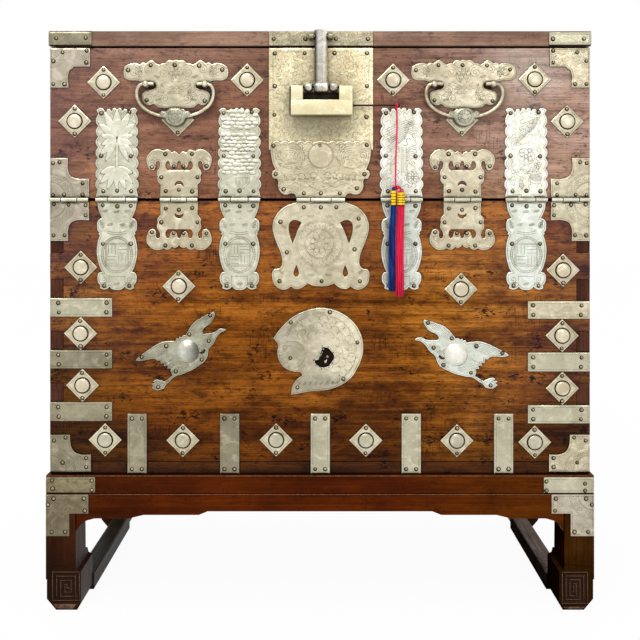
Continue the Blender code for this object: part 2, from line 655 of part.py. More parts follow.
def make_stand():
    half = STAND_WIDTH / 2
    front = -STAND_LIP
    back = DEPTH + STAND_LIP
    frame = prism(rectangle(-half, front, half, back), RAIL_UNDER, STAND_TOP, "Z",
                  [rectangle(-half + RAIL_DEPTH, front + RAIL_DEPTH, half - RAIL_DEPTH, back - RAIL_DEPTH)])
    ends = half / GRID
    straps = [strap((0.45 - ends, 49.25 - ends), (BASE - 17.0, BASE - 1.8), front - GAP - PLATE,
                    front + SET_IN),
              strap((ends - 50.25, ends - 0.45), (BASE - 17.4, BASE - 2.0), front - GAP - PLATE,
                    front + SET_IN)]
    part("stand_top_frame", frame, [together(straps)], look="stand_wood")

    # Aprons step down from the middle to the legs and end in knees
    inside = half - LEG_WIDTH - GAP
    low = RAIL_UNDER - 24.9 * GRID
    step = RAIL_UNDER - 21.4 * GRID
    knee = [(inside, APRON_TOP), (inside, RAIL_UNDER - 38.4 * GRID),
            (inside - 3.0 * GRID, RAIL_UNDER - 32.8 * GRID),
            (inside - 9.0 * GRID, RAIL_UNDER - 27.4 * GRID), (inside - 18.0 * GRID, low)]
    steps = [(half - 82.75 * GRID, low), (half - 97.25 * GRID, step), (half - 152.25 * GRID, step),
             (half - 161.25 * GRID, RAIL_UNDER - 17.8 * GRID)]
    run = knee + steps
    outline = run + [(-x, z) for x, z in reversed(run)]
    part("front_apron", prism(outline, front, front + APRON), look="stand_wood")
    part("back_apron", prism(outline, back - APRON, back), look="stand_wood")
    near = front + LEG_DEPTH + GAP
    far = back - LEG_DEPTH - GAP
    run = [(near, APRON_TOP), (near, RAIL_UNDER - 35.4 * GRID), (near + 8 * GRID, RAIL_UNDER - 27.4 * GRID),
           (near + 18 * GRID, low), (near + 46 * GRID, low), (near + 56 * GRID, step)]
    outline = run + [(near + far - y, z) for y, z in reversed(run)]
    part("left_apron", prism(outline, -half, -half + APRON, "X"), look="stand_wood")
    part("right_apron", prism(outline, half - APRON, half, "X"), look="stand_wood")

    # Legs with a flared foot whose bottom corners are cut off
    post_low = FOOT_TOP - 8 * GRID
    post = [(0.0, post_low), (LEG_WIDTH, post_low), (LEG_WIDTH, RAIL_UNDER - 42.4 * GRID),
            (LEG_WIDTH - 0.6 * GRID, APRON_TOP), (0.0, APRON_TOP)]
    foot = [(1.2 * GRID, 11.0 * GRID), (10.5 * GRID, 0.0), (FOOT_WIDTH - 3.5 * GRID, 0.0),
            (FOOT_WIDTH, 7.0 * GRID), (FOOT_WIDTH, FOOT_TOP), (LEG_WIDTH + 1.0 * GRID, FOOT_TOP + 2.0 * GRID),
            (LEG_WIDTH - 0.4 * GRID, FOOT_TOP + 7.0 * GRID), (1.2 * GRID, FOOT_TOP + 4.0 * GRID)]
    for side, sign in (("left", -1.0), ("right", 1.0)):
        upright = [(sign * (half - u), z) for u, z in post]
        block = [(sign * (half - u), z) for u, z in foot]
        part("front_" + side + "_leg", prism(upright, front, front + LEG_DEPTH),
             [prism(block, front - FOOT_LIP, front - FOOT_LIP + FOOT_DEPTH)], look="stand_wood")
        part("back_" + side + "_leg", prism(upright, back - LEG_DEPTH, back),
             [prism(block, back + FOOT_LIP - FOOT_DEPTH, back + FOOT_LIP)], look="stand_wood")
        runs = (front - FOOT_LIP + FOOT_DEPTH + GAP, back + FOOT_LIP - FOOT_DEPTH - GAP)
        inner, outer = sorted((sign * RUNNER_INSIDE, sign * (RUNNER_INSIDE + RUNNER_WIDTH)))
        part(side + "_runner", box((inner, outer), runs, (0.0, RUNNER_HEIGHT), 0.0015), look="stand_wood")


def make_hinges():
    line = LINE
    sides = [(21.2, 2.6)] + scallops((20.6, 10.0), (19.8, 84.0), 7, -1.0)
    crown = [(19.6, 86.0), (20.6, 89.4), (17.4, 91.6), (14.0, 91.2), (11.2, 88.6)]
    lobes = scallops((11.0, 88.8), (0.0, 90.6), 2, -1.6)
    upper = mirrored(sides + crown + lobes[1:] + [(0.0, 90.8)])
    for number, x in enumerate(LONG_HINGES, start=1):
        hinge("long_hinge_%d" % number, x, 21.2, edge_first(drawn(upper, x, line)),
              edge_first(drawn(mirrored(LONG_LOWER), x, line)))

    openings = [mirrored(FRET_OPENING), mirrored(FRET_CRESCENT)]
    for number, x in enumerate(FRET_HINGES, start=1):
        turned = [[(u, -v) for u, v in shape] for shape in [mirrored(FRET_UPPER)] + openings]
        hinge("fret_hinge_%d" % number, x, 19.0, edge_first(drawn(mirrored(FRET_UPPER), x, line)),
              edge_first(drawn(turned[0], x, line)), [drawn(shape, x, line) for shape in openings],
              [drawn(shape, x, line) for shape in turned[1:]])

    crown = scallops((47.6, 57.0), (0.0, 57.0), 6, -1.9)
    upper = mirrored(CENTRE_UPPER + crown[1:-2] + [(0.0, 58.7)])
    openings = []
    for shape in (CENTRE_OPENING, CENTRE_DROP):
        openings += [drawn(shape, CENTRE_HINGE, line), drawn(shape, CENTRE_HINGE, line, -1.0)]
    hinge("centre_hinge", CENTRE_HINGE, 24.4, edge_first(drawn(upper, CENTRE_HINGE, line)),
          edge_first(drawn(mirrored(CENTRE_LOWER), CENTRE_HINGE, line)), (), openings,
          -2 * (GAP + PLATE), 0.0025)

    for side, end, flip in (("left", -END, 1.0), ("right", END, -1.0)):
        hinge("corner_hinge_" + side, end + flip * 19.7, 19.5,
              edge_first(drawn(CORNER_UPPER, end, line, flip)),
              edge_first(drawn(CORNER_LOWER, end, line, flip)))


def edge_first(outline):
    """Outline turned to run from the barrel edge's right end round to its left end."""
    if sum(a[0] * b[1] - b[0] * a[1] for a, b in zip(outline, outline[1:] + outline[:1])) < 0.0:
        outline = outline[::-1]
    if sum(z for x, z in outline) / len(outline) < HINGE_Z:
        outline = outline[::-1]
    near = sorted(range(len(outline)), key=lambda i: abs(outline[i][1] - HINGE_Z))[:2]
    start = max(near, key=lambda i: outline[i][0])
    return outline[start:] + outline[:start]


def make_lock():
    x = LOCK_X * GRID
    rod_z = ROD_Z * GRID
    front = -(GAP + PLATE)
    outline = rectangle(-LOCK_PLATE_HALF, LINE + 49.5, LOCK_PLATE_HALF, FLAP_EDGE - 0.2)
    part("lock_plate", sheet(drawn(outline, LOCK_X)), on="flap_body")

    # Plate on the top board's edge, with two lugs that hold the hasp's pin
    edge = -TOP_OVERHANG
    pin_z = HASP_PIN_Z * GRID
    wide = LOCK_PLATE_HALF - 0.2
    outline = rectangle(-wide, TOP_EDGE + 0.4, wide, TOP_Z / GRID - 0.4)
    plate = sheet(drawn(outline, LOCK_X), (), edge - GAP - PLATE, edge - GAP)
    lugs = []
    for low, high in ((-11.6, -7.3), (7.3, 11.6)):
        profile = [(edge - GAP - 0.0007, pin_z - 0.0048)]
        profile += [(HASP_PIN_Y - 0.0048 * math.sin(a), pin_z - 0.0048 * math.cos(a))
                    for a in (math.pi * i / 6 for i in range(7))]
        profile.append((edge - GAP - 0.0007, pin_z + 0.0048))
        lugs.append(prism(profile, x + low * GRID, x + high * GRID, "X"))
    pin = lathe([(x - 9.4 * GRID, HASP_PIN), (x + 9.4 * GRID, HASP_PIN)], "X", HASP_PIN_Y, pin_z, 12)
    part("hasp_top_plate", plate, [together(lugs), pin])

    # Half-round bar with a ring on the padlock's rod and a hook that drops over the pin
    half = HASP_HALF * GRID
    section = [(x + half * math.cos(a), -0.0105 - 0.0115 * math.sin(a))
               for a in (math.pi * i / 10 for i in range(11))]
    section += [(x - half, -0.0080), (x + half, -0.0080)]
    bar = prism(section, rod_z + 0.0030, HASP_TOP * GRID, "Z")
    ring = lathe([(x - 6.8 * GRID, 0.0078), (x - 5.8 * GRID, 0.0092), (x + 5.8 * GRID, 0.0092),
                  (x + 6.8 * GRID, 0.0078)], "X", ROD_Y, rod_z, 18)
    bore = lathe([(x - 8.0 * GRID, ROD_BORE), (x + 8.0 * GRID, ROD_BORE)], "X", ROD_Y, rod_z, 12)
    room = HASP_PIN + 0.0006
    mouth = [(-0.0060, pin_z + room)]
    mouth += [(HASP_PIN_Y - room * math.sin(a), pin_z + room * math.cos(a))
              for a in (math.pi * i / 8 for i in range(9))]
    mouth.append((-0.0060, pin_z - room))
    hook = prism(mouth, x - 2 * half, x + 2 * half, "X")
    part("hasp_bar", bar, [ring], [bore, hook], "hasp_body")

    # Staples: rounded eyes on a shank with a foot against the lock plate
    for side, sign in (("left", -1.0), ("right", 1.0)):
        middle = x + sign * 12.5 * GRID
        eye = lathe([(middle - 4.3 * GRID, 0.0044), (middle - 3.4 * GRID, 0.0068),
                     (middle - 1.2 * GRID, 0.0083),
                     (middle + 1.2 * GRID, 0.0083), (middle + 3.4 * GRID, 0.0068),
                     (middle + 4.3 * GRID, 0.0044)],
                    "X", ROD_Y, rod_z, 12)
        shank = lathe([(front - GAP, 0.0052), (front - GAP - 0.0016, 0.0052), (-0.0060, 0.0036),
                       (-0.0150, 0.0036)],
                      "Y", middle, rod_z, 10)
        bore = lathe([(middle - 0.02, ROD_BORE), (middle + 0.02, ROD_BORE)], "X", ROD_Y, rod_z, 10)
        part("lock_staple_" + side, shank, [eye], [bore], "flap_body")

    # Padlock case: hollow bar with an upright block, a bore for the rod and a slot for the key
    low = x - CASE_HALF * GRID
    high = x + CASE_HALF * GRID
    bottom = CASE_Z[0] * GRID
    top = CASE_Z[1] * GRID
    case = box((low, high), CASE_Y, (bottom, top), 0.0016)
    block = box((x + BLOCK_INNER * GRID, high - 0.0004), (CASE_Y[0] + 0.0005, CASE_Y[1] - 0.0005),
                (top - 0.004, BLOCK_TOP * GRID), 0.0012)
    wall = 0.0035
    hollow = box((low - 0.002, high - 0.009), (CASE_Y[0] + wall, CASE_Y[1] - wall),
                 (bottom + wall, top - wall))
    key_z = KEY_Z * GRID
    slot = box((high - 0.012, high + 0.003), (KEY_Y - 0.0022, KEY_Y + 0.0022),
               (key_z - 0.0040, key_z + 0.0040))
    bore = lathe([(x + 10 * GRID, ROD_BORE), (high + 0.004, ROD_BORE)], "X", ROD_Y, rod_z, 12)
    part("padlock_case", case, [block], [hollow, slot, bore], "case_body")

    # Shackle: end plate, block, rod and the spring bolt that slides into the case
    end = box((low - GAP - 0.0030, low - GAP), (CASE_Y[0] + 0.0006, CASE_Y[1] - 0.0006),
              (bottom + 0.0008, BLOCK_TOP * GRID))
    block = box((low - GAP - 0.0018, x - BLOCK_INNER * GRID), (CASE_Y[0] + 0.0010, CASE_Y[1] - 0.0010),
                (top + GAP, BLOCK_TOP * GRID - 0.0003), 0.0008)
    rod = lathe([(low, ROD), (high - 0.0008, ROD), (high - 0.0002, 0.0016)], "X", ROD_Y, rod_z, 12)
    middle = (bottom + top) / 2
    bolt = box((low - 0.0015, x + 2.0 * GRID), (KEY_Y - 0.0040, KEY_Y + 0.0040),
               (middle - 0.0050, middle + 0.0050),
               0.0010)
    part("padlock_shackle", end, [block, rod, bolt], on="flap_body")

    # Key: thin rod with a flat bit inside the case and a knob that keeps the cord on
    tip = KEY_TIP * GRID
    rod = lathe([(x + 14.0 * GRID, KEY), (tip, KEY), (tip + 0.0003, 0.0028), (tip + 0.0022, 0.0028),
                 (tip + 0.0030, 0.0014)], "X", KEY_Y, key_z, 10)
    bit = box((x + 12.0 * GRID, x + 16.0 * GRID), (KEY_Y - 0.0011, KEY_Y + 0.0011),
              (key_z - 0.0033, key_z + 0.0033))
    part("padlock_key", rod, [bit], on="key_body", look="iron")

    make_tassel(tip - 0.0022, key_z)


def make_tassel(x, z):
    """Cord looped on the key's end with two tassels in bands below its knot."""
    heads = z - 82.9 * GRID
    band_top = z - 85.5 * GRID
    band_low = z - 100.3 * GRID
    knot = heads + GAP + 0.0016
    spread = [("tassel_blue", -8.9, -2.7, z - 183.5 * GRID), ("tassel_red", -1.9, 7.6, z - 188.5 * GRID)]
    inner = KEY + 0.0004
    loop = prism(circle(inner + 0.0024, 14, KEY_Y, z), x - 0.0012, x + 0.0012, "X",
                 [circle(inner, 10, KEY_Y, z)])
    strand = tube([(x, KEY_Y, z - inner - 0.0008), (x + 0.0006, KEY_Y, z - 0.030),
                   (x - 0.0014, KEY_Y, z - 0.080),
                   (x - 0.0018, KEY_Y, knot)], 0.0013, 8)
    middles = [x + (low + high) / 2 * GRID for name, low, high, end in spread]
    bow = tube([(middles[0], KEY_Y, knot), (x - 0.0020, KEY_Y, knot + 0.0014), (middles[1], KEY_Y, knot)],
               0.0016, 8)
    part("tassel_cord", loop, [strand, bow], on="tassel_body", look="red_silk")
    for name, low, high, end in spread:
        middle = x + (low + high) / 2 * GRID
        radius = (high - low) / 2 * GRID
        hang = lathe([(end, radius * 1.02), (end + 0.012, radius), (band_low - 0.2 * GRID, radius * 0.88),
                      (band_low, radius * 0.96), (band_top, radius * 0.96),
                      (band_top + 0.2 * GRID, radius * 0.80),
                      (heads, radius * 0.62)], "Z", middle, KEY_Y, 12)
        part(name, hang, on="tassel_body", look="blue_silk" if name == "tassel_blue" else "red_silk")


def make_handles():
    axis_z = POST_Z * GRID
    for side, x in HANDLES.items():
        plate = sheet(drawn(mirrored(HANDLE_PLATE), x, POST_Z))
        posts = []
        bores = []
        for sign in (-1.0, 1.0):
            middle = (x + sign * POST_X) * GRID
            posts.append(lathe([(-0.0009, 0.0050), (-0.0030, 0.0050), (-0.0045, 0.0036),
                                (POST_Y + 0.0036, 0.0040),
                                (POST_Y + 0.0016, POST_BALL), (POST_Y - 0.0016, POST_BALL),
                                (POST_Y - 0.0048, 0.0024)], "Y", middle, axis_z, 10))
            bores.append(lathe([(middle - 0.008, POST_BORE), (middle + 0.008, POST_BORE)], "X", POST_Y,
                               axis_z, 12))
        part("handle_plate_" + side, plate, [together(posts)], [together(bores)], "flap_body")

        half = [(u, v) for u, v in BAIL_PATH]
        path = [(-u, v) for u, v in half[:-1]] + list(reversed(half))
        rod = tube([((x + u) * GRID, POST_Y, axis_z + v * GRID) for u, v in path], BAIL_ROD, 8)
        turtle = drawn(mirrored(TURTLE), x, POST_Z)
        middle = (x * GRID, axis_z - 32.6 * GRID)
        turtle_body = domed_plate(turtle, middle, 7.4 * GRID, 0.0026, POST_Y + 0.0036, POST_Y - 0.0030)
        part("handle_bail_" + side, rod, [turtle_body], on="bail_" + side + "_body")


def make_plates():
    stand = STAND_WIDTH / 2 / GRID
    for side, end, flip in (("left", -END, 1.0), ("right", END, -1.0)):
        part("flap_corner_" + side, sheet(drawn(FLAP_CORNER, end, FLAP_EDGE, flip)), on="flap_body")
        part("base_corner_" + side, sheet(drawn(BASE_CORNER, end, BASE, flip)))
        part("leg_corner_" + side, sheet(drawn(LEG_CORNER, -flip * stand, RAIL_UNDER / GRID, flip), (),
                                         -STAND_LIP - GAP - PLATE, -STAND_LIP - GAP))
    for side, (x, z, flip, turn) in BIRDS.items():
        part("bird_plate_" + side,
             domed_plate(drawn(BIRD, x, z, flip, turn), (x * GRID, z * GRID), BIRD_DOME_RADIUS * GRID, 0.0050,
                         -GAP, -(GAP + PLATE), 14))
    x, z = TORTOISE_AT
    part("tortoise_plate", sheet(drawn(TORTOISE, x, z), [drawn(TORTOISE_TEAR, x, z)]))


def make_bodies():
    """Empties on the joint axes: the flap's barrels, the padlock's rod and key, and the bails' posts."""
    x = LOCK_X * GRID
    body("carcass_body", None)
    body("flap_body", "carcass_body", 0.0, AXIS_Y, HINGE_Z)
    body("hasp_body", "flap_body", x, ROD_Y, ROD_Z * GRID)
    body("case_body", "flap_body", x, ROD_Y, ROD_Z * GRID)
    body("key_body", "case_body", x, KEY_Y, KEY_Z * GRID)
    body("tassel_body", "key_body", KEY_TIP * GRID, KEY_Y, KEY_Z * GRID)
    for side, middle in HANDLES.items():
        body("bail_" + side + "_body", "flap_body", middle * GRID, POST_Y, POST_Z * GRID)


def main():
    for existing in list(bpy.data.objects):
        bpy.data.objects.remove(existing)
    make_bodies()
    make_carcass()
    make_stand()
    make_hinges()
    make_lock()
    make_handles()
    make_plates()


main()
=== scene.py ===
"""Looks of a Korean drop-front chest on its stand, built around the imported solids.

Metres, +Z up, the front faces -Y. Places read from the front are given in drawing units of PIXEL metres:
across from the chest's middle and up from the floor.
"""
import math
import random

import bmesh
import bpy
import numpy as np
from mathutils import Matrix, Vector, noise
from mathutils.geometry import delaunay_2d_cdt


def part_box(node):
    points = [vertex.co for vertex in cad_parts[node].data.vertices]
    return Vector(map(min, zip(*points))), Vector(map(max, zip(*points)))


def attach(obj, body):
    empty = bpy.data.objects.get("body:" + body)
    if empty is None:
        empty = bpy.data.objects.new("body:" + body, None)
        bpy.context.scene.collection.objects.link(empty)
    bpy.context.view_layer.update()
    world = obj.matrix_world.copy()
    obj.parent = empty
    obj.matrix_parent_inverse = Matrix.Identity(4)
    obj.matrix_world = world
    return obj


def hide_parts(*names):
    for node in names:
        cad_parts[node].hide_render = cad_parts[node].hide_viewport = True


PIXEL = 0.001648
FRONT = -0.20745
HALF_WIDTH = 270 * PIXEL
DEPTH = 0.440
BOARD = 0.022
# Free space under a sheet fitting, and the sheet's own thickness
GAP = 0.0003
PLATE = 0.0015
# How far the top board and the stand's frame stand out past the front
TOP_LIP = 0.002
STAND_LIP = 0.0054
# Front faces of the fittings on the boards, on other fittings, on the top board's edge and on the stand
FACE = FRONT - GAP - PLATE
CENTRE_FACE = FRONT - 2 * (GAP + PLATE)
TOP_FACE = FRONT - TOP_LIP - GAP - PLATE
STAND_FACE = FRONT - STAND_LIP - GAP - PLATE
# The flap's hinge line, in drawing units and in metres, and the radius of the knuckles on it
HINGE = 408.5
HINGE_Z = HINGE * PIXEL
HINGE_Y = FRONT - 0.0037
BARREL = 0.0034
# Lines of the handle posts and of the key
POST_Z = 523.5
POST_Y = FRONT - 0.009
KEY_Z = 501.5
KEY_Y = FRONT - 0.020
# Height of the tassel's knot, and the turn from one thread of a fringe to the next, in radians
KNOT_Z = 420.6
GOLDEN_ANGLE = 2.39996
# A face looks to the front where its normal's Y is below this, and levels nearer than this are the same
FACES_FRONT = -0.99
SAME_LEVEL = 2e-5
# How deep lines and low shapes are set into the face under them, and the steps that lines are cut into
SET_IN = 0.0003
STEP = 0.0008
# Rows of an even net of triangles lie this share of its spacing apart
NET_ROW = 0.866
# How far a beaten sheet's front rises and falls, and its waves in a metre
UNEVEN = 0.00016
WAVES = 45
# The photograph's middle column, and the row of its floor
MIDDLE_COLUMN = 320
FLOOR_ROW = 608

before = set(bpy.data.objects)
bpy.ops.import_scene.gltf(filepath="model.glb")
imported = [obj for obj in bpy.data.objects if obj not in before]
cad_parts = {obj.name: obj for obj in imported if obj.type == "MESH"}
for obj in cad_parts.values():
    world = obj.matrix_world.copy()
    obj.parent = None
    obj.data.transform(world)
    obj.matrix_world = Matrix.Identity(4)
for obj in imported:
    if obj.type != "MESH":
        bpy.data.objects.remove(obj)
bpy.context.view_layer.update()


def colour(tone):
    """Linear colour from 0 to 255 screen values."""
    return tuple((c / 255) ** 2.2 for c in tone)


def share_of(tone, share):
    """Darker tone of the same colour."""
    return tuple(c * share for c in tone)


class Nodes:
    """A node tree, with short calls for the nodes used here."""

    def __init__(self, tree):
        self.tree = tree

    def put(self, value, socket):
        if isinstance(value, bpy.types.NodeSocket):
            self.tree.links.new(value, socket)
        elif isinstance(value, tuple) and socket.type == "RGBA":
            socket.default_value = (*value, 1.0)
        else:
            socket.default_value = value

    def add(self, kind, inputs=None, **settings):
        node = self.tree.nodes.new("ShaderNode" + kind)
        for key, value in settings.items():
            setattr(node, key, value)
        for key, value in (inputs or {}).items():
            self.put(value, node.inputs[key])
        return node

    def ramp(self, fac, *stops):
        """Colour or grey by position along fac."""
        node = self.add("ValToRGB", {"Fac": fac})
        elements = node.color_ramp.elements
        while len(elements) < len(stops):
            elements.new(0.5)
        for element, (position, value) in zip(elements, stops):
            element.position = position
            element.color = (*value, 1.0) if isinstance(value, tuple) else (value, value, value, 1.0)
        return node.outputs["Color"]

    def mix(self, fac, first, second, blend="MIX"):
        node = self.add("Mix", {0: fac, 6: first, 7: second}, data_type="RGBA", blend_type=blend)
        return node.outputs[2]

    def coats(self, base, *rows):
        """Tints over a base, one after another, each by a ramp along its own fac."""
        for fac, tint, *stops in rows:
            base = self.mix(self.ramp(fac, *stops), base, tint)
        return base

    def math(self, operation, *values):
        return self.add("Math", dict(enumerate(values)), operation=operation).outputs[0]

    def split(self, vector, letter):
        return self.add("SeparateXYZ", {"Vector": vector}).outputs[letter]

    def background_ray(self):
        """1 for rays that show the surroundings: from the camera, off metal and through glass."""
        rays = self.add("LightPath").outputs
        seen_or_mirrored = self.math("MAXIMUM", rays["Is Camera Ray"], rays["Is Glossy Ray"])
        return self.math("MAXIMUM", seen_or_mirrored, rays["Is Transmission Ray"])


class Shader(Nodes):
    """A material's nodes."""

    def __init__(self, name, **inputs):
        self.name = name
        self.material = bpy.data.materials.new(name)
        self.material.use_nodes = True
        super().__init__(self.material.node_tree)
        self.surface = self.tree.nodes["Principled BSDF"]
        self.where = self.add("TexCoord").outputs["Object"]
        for key, value in inputs.items():
            self.put(value, self.surface.inputs[key.replace("_", " ")])

    def noise(self, scale, detail=3.0, rough=0.5, warp=0.0):
        """Noise over the piece's own coordinates; scale gives cells in a metre along each axis."""
        place = self.add("Mapping", {"Vector": self.where, "Scale": scale})
        node = self.add("TexNoise", {"Vector": place.outputs["Vector"], "Scale": 1.0, "Detail": detail,
                                     "Roughness": rough, "Distortion": warp})
        return node.outputs["Fac"]

    def axis(self, letter):
        return self.split(self.where, letter)

    def oval(self, x, z, wide, high):
        """0 in the middle of an oval on the front and 1 at its rim; all in drawing units."""
        across = self.math("DIVIDE", self.math("SUBTRACT", self.axis("X"), x * PIXEL), wide * PIXEL)
        up = self.math("DIVIDE", self.math("SUBTRACT", self.axis("Z"), z * PIXEL), high * PIXEL)
        return self.math("ADD", self.math("MULTIPLY", across, across), self.math("MULTIPLY", up, up))

    def shade(self, reach):
        """How open the surface is to its surroundings within a reach."""
        return self.add("AmbientOcclusion", {"Distance": reach}, samples=6).outputs["AO"]

    def finish(self, base, rough, height, strength, distance):
        """Join colour, roughness and relief to the surface, and keep the look under its name."""
        bump = self.add("Bump", {"Height": height, "Strength": strength, "Distance": distance})
        for key, value in (("Base Color", base), ("Roughness", rough), ("Normal", bump.outputs["Normal"])):
            self.put(value, self.surface.inputs[key])
        LOOKS[self.name] = self.material


LOOKS = {}


def wood(name, dark, middle, light, grain="X", marks=0.5, washes=(), glow=None, painted_face_shading=None, roughness=0.42,
         gloss=0.22):
    """Old lacquered wood: long grain, blotches, pores, small dark marks and painted shade in the corners.

    washes change the tone by ramps along the front, up it, up a line that dips to the left or up an arch;
    glow is a pale oval of painted reflection; the facing tint lightens or darkens the faces that look one
    way, as painted light and shade.
    """
    dark, middle, light = colour(dark), colour(middle), colour(light)
    ink = share_of(dark, 0.20)
    shader = Shader(name, Specular_IOR_Level=gloss)

    def along(run, across):
        return tuple(run if axis == grain else across for axis in "XYZ")

    figure = shader.noise(along(1.3, 26.0), 6.0, 0.60, 1.4)
    streaks = shader.noise(along(9.0, 430.0), 4.0, 0.65, 0.3)
    mottle = shader.noise(along(34.0, 78.0), 5.0, 0.70, 0.5)
    blotches = shader.noise((8.0, 8.0, 11.0), 4.0, 0.55, 0.6)
    pores = shader.noise(along(110.0, 620.0), 3.0, 0.6)
    spots = shader.math("MULTIPLY", shader.noise(along(130.0, 250.0), 4.0, 0.7, 0.6),
                        shader.noise((24.0, 24.0, 30.0), 2.0))
    scores = shader.math("MULTIPLY", shader.noise(along(520.0, 42.0), 2.0, 0.6),
                         shader.noise((12.0, 12.0, 26.0), 1.0))
    base = shader.coats(
        shader.ramp(figure, (0.25, dark), (0.48, middle), (0.75, light)),
        (blotches, dark, (0.34, 0.60), (0.52, 0.0)),
        (blotches, light, (0.52, 0.0), (0.72, 0.45)),
        (streaks, dark, (0.34, 0.60), (0.54, 0.0)),
        (streaks, light, (0.56, 0.0), (0.72, 0.40)),
        (mottle, share_of(dark, 0.55), (0.32, 0.75 * marks), (0.50, 0.0)),
        (mottle, light, (0.55, 0.0), (0.74, 0.35)),
        (pores, ink, (0.57, 0.0), (0.68, 0.75 * marks)),
        (spots, ink, (0.325, 0.0), (0.375, 0.95 * marks)),
        (scores, ink, (0.39, 0.0), (0.44, 0.60 * marks)))
    wander = shader.math("MULTIPLY", shader.math("SUBTRACT", blotches, 0.5), 0.12)
    level = shader.math("ADD", shader.axis("Z"), shader.math("MULTIPLY", blotches, 0.05))
    slant = shader.math("MULTIPLY", shader.math("MINIMUM", shader.axis("X"), 0.08), 0.24)
    arch = shader.math("MULTIPLY", shader.axis("X"), shader.axis("X"))
    places = {"along": shader.math("ADD", shader.math("ADD", shader.axis("X"), 0.5), wander), "up": level,
              "slanting": shader.math("ADD", level, slant), "arched": shader.math("SUBTRACT", level, arch)}
    for direction, blend, tint, *stops in washes:
        base = shader.mix(shader.ramp(places[direction], *stops), base, tint, blend)
    # Painted reflection: a pale oval added to the tone.
    if glow:
        outline, tint = glow
        base = shader.mix(shader.ramp(shader.oval(*outline), (0.0, 1.0), (1.0, 0.0)), base, tint, "ADD")
    # Painted light and shade: faces that look one way are made lighter or darker.
    if painted_face_shading:
        letter, sign, tint = painted_face_shading
        turned_to = shader.split(shader.add("NewGeometry").outputs["Normal"], letter)
        share = shader.ramp(shader.math("MULTIPLY", turned_to, sign), (0.45, 0.0), (0.85, 1.0))
        base = shader.mix(share, base, tint, "MULTIPLY")
    # Painted shade: darker where the surface is closed in, as beside the plates and in corners.
    base = shader.coats(base, (shader.shade(0.014), ink, (0.40, 0.90), (0.94, 0.0)))
    height = shader.math("ADD", shader.math("MULTIPLY", streaks, 0.5), shader.math("MULTIPLY", figure, 0.8))
    shader.finish(base, shader.ramp(streaks, (0.3, roughness + 0.16), (0.7, roughness)), height, 0.35, 0.0006)


def metal(name, tone, warm, rough=0.33, worn=0.5, waves=38.0, maze=None, painted_light_stripe=None, narrow_darkening=0.92, deep=0.85,
          proud=None, shadow_pool=None):
    """Old white brass: beaten sheet with an uneven tone, fine scratches, darkening in narrow corners and
    painted shade in wider ones.

    maze gives the cells in a metre and the closeness of a net of fine cut lines, the stripe gives shares of
    the tone along X as painted light and shade, the first corner strength sets how dark narrow corners grow
    and deep sets the painted shade in wider ones, what stands in front of proud is dark, and the pool is a
    painted
    shadow: a soft dark oval with its strength.
    """
    tone, warm = colour(tone), colour(warm)
    pale = tuple(min(1.0, c * 1.22) for c in tone)
    shader = Shader(name, Metallic=1.0)
    cloud = shader.noise((16.0, 16.0, 16.0), 4.0, 0.6, 0.5)
    crease = shader.noise((46.0, 46.0, 60.0), 3.0, 0.55, 1.4)
    fine = shader.noise((170.0, 170.0, 210.0), 4.0, 0.65, 0.3)
    scratch = shader.noise((60.0, 400.0, 900.0), 2.0, 0.5, 1.2)
    base = shader.coats(
        tone,
        (cloud, warm, (0.36, 0.0), (0.64, 1.0)),
        (crease, share_of(warm, 0.66), (0.30, 0.75 * worn), (0.47, 0.0)),
        (crease, pale, (0.53, 0.0), (0.68, 0.8)),
        (fine, share_of(warm, 0.42), (0.56, 0.0), (0.74, 0.7 * worn)),
        (scratch, share_of(tone, 0.5), (0.62, 0.0), (0.72, 0.35 * worn)))
    if maze:
        cells, rings = maze
        net = shader.math("FRACT", shader.math("MULTIPLY", shader.noise(cells, 0.6, 0.4, 0.9), rings))
        lines = ((0.0, 0.62), (0.10, 0.45), (0.22, 0.0), (0.80, 0.0), (0.92, 0.45), (1.0, 0.62))
        base = shader.coats(base, (net, share_of(warm, 0.40), *lines))
    # Painted light and shade: the tone rises and falls across X.
    if painted_light_stripe:
        low, high, stops = painted_light_stripe
        across = shader.math("DIVIDE", shader.math("SUBTRACT", shader.axis("X"), low), high - low)
        base = shader.mix(1.0, base, shader.ramp(across, *stops), "MULTIPLY")
    # Painted shadow: a soft dark oval.
    if shadow_pool:
        outline, share = shadow_pool
        base = shader.coats(base, (shader.oval(*outline), share_of(warm, 0.30), (0.10, share), (1.0, 0.0)))
    # Darker in narrow corners, and painted shade in wider ones.
    base = shader.coats(
        base,
        (shader.shade(0.0045), colour((50, 42, 30)), (0.42, narrow_darkening), (0.88, 0.0)),
        (shader.shade(0.034), share_of(warm, 0.28), (0.38, deep), (0.95, 0.0)))
    if proud:
        ahead = shader.math("MULTIPLY", shader.math("SUBTRACT", proud, shader.axis("Y")), 1000.0)
        base = shader.coats(base, (ahead, colour((112, 102, 80)), (0.0, 0.0), (0.6, 0.45)))
    height = shader.math("ADD", shader.noise((waves, waves, waves), 2.0, 0.5, 0.3),
                         shader.math("MULTIPLY", fine, 0.10))
    shader.finish(base, shader.ramp(fine, (0.35, rough - 0.05), (0.70, rough + 0.17)), height, 0.45, 0.0022)


def plain(name, tone, other, rough, metallic=0.0, cells=(300.0, 300.0, 300.0)):
    """Small dull pieces: two tones mixed by a fine grain."""
    shader = Shader(name, Metallic=metallic, Specular_IOR_Level=0.1)
    grain = shader.noise(cells, 3.0, 0.6)
    base = shader.coats(colour(tone), (grain, colour(other), (0.35, 0.0), (0.65, 1.0)))
    shader.finish(base, shader.ramp(grain, (0.3, rough - 0.08), (0.7, rough + 0.08)), grain, 0.3, 0.0003)


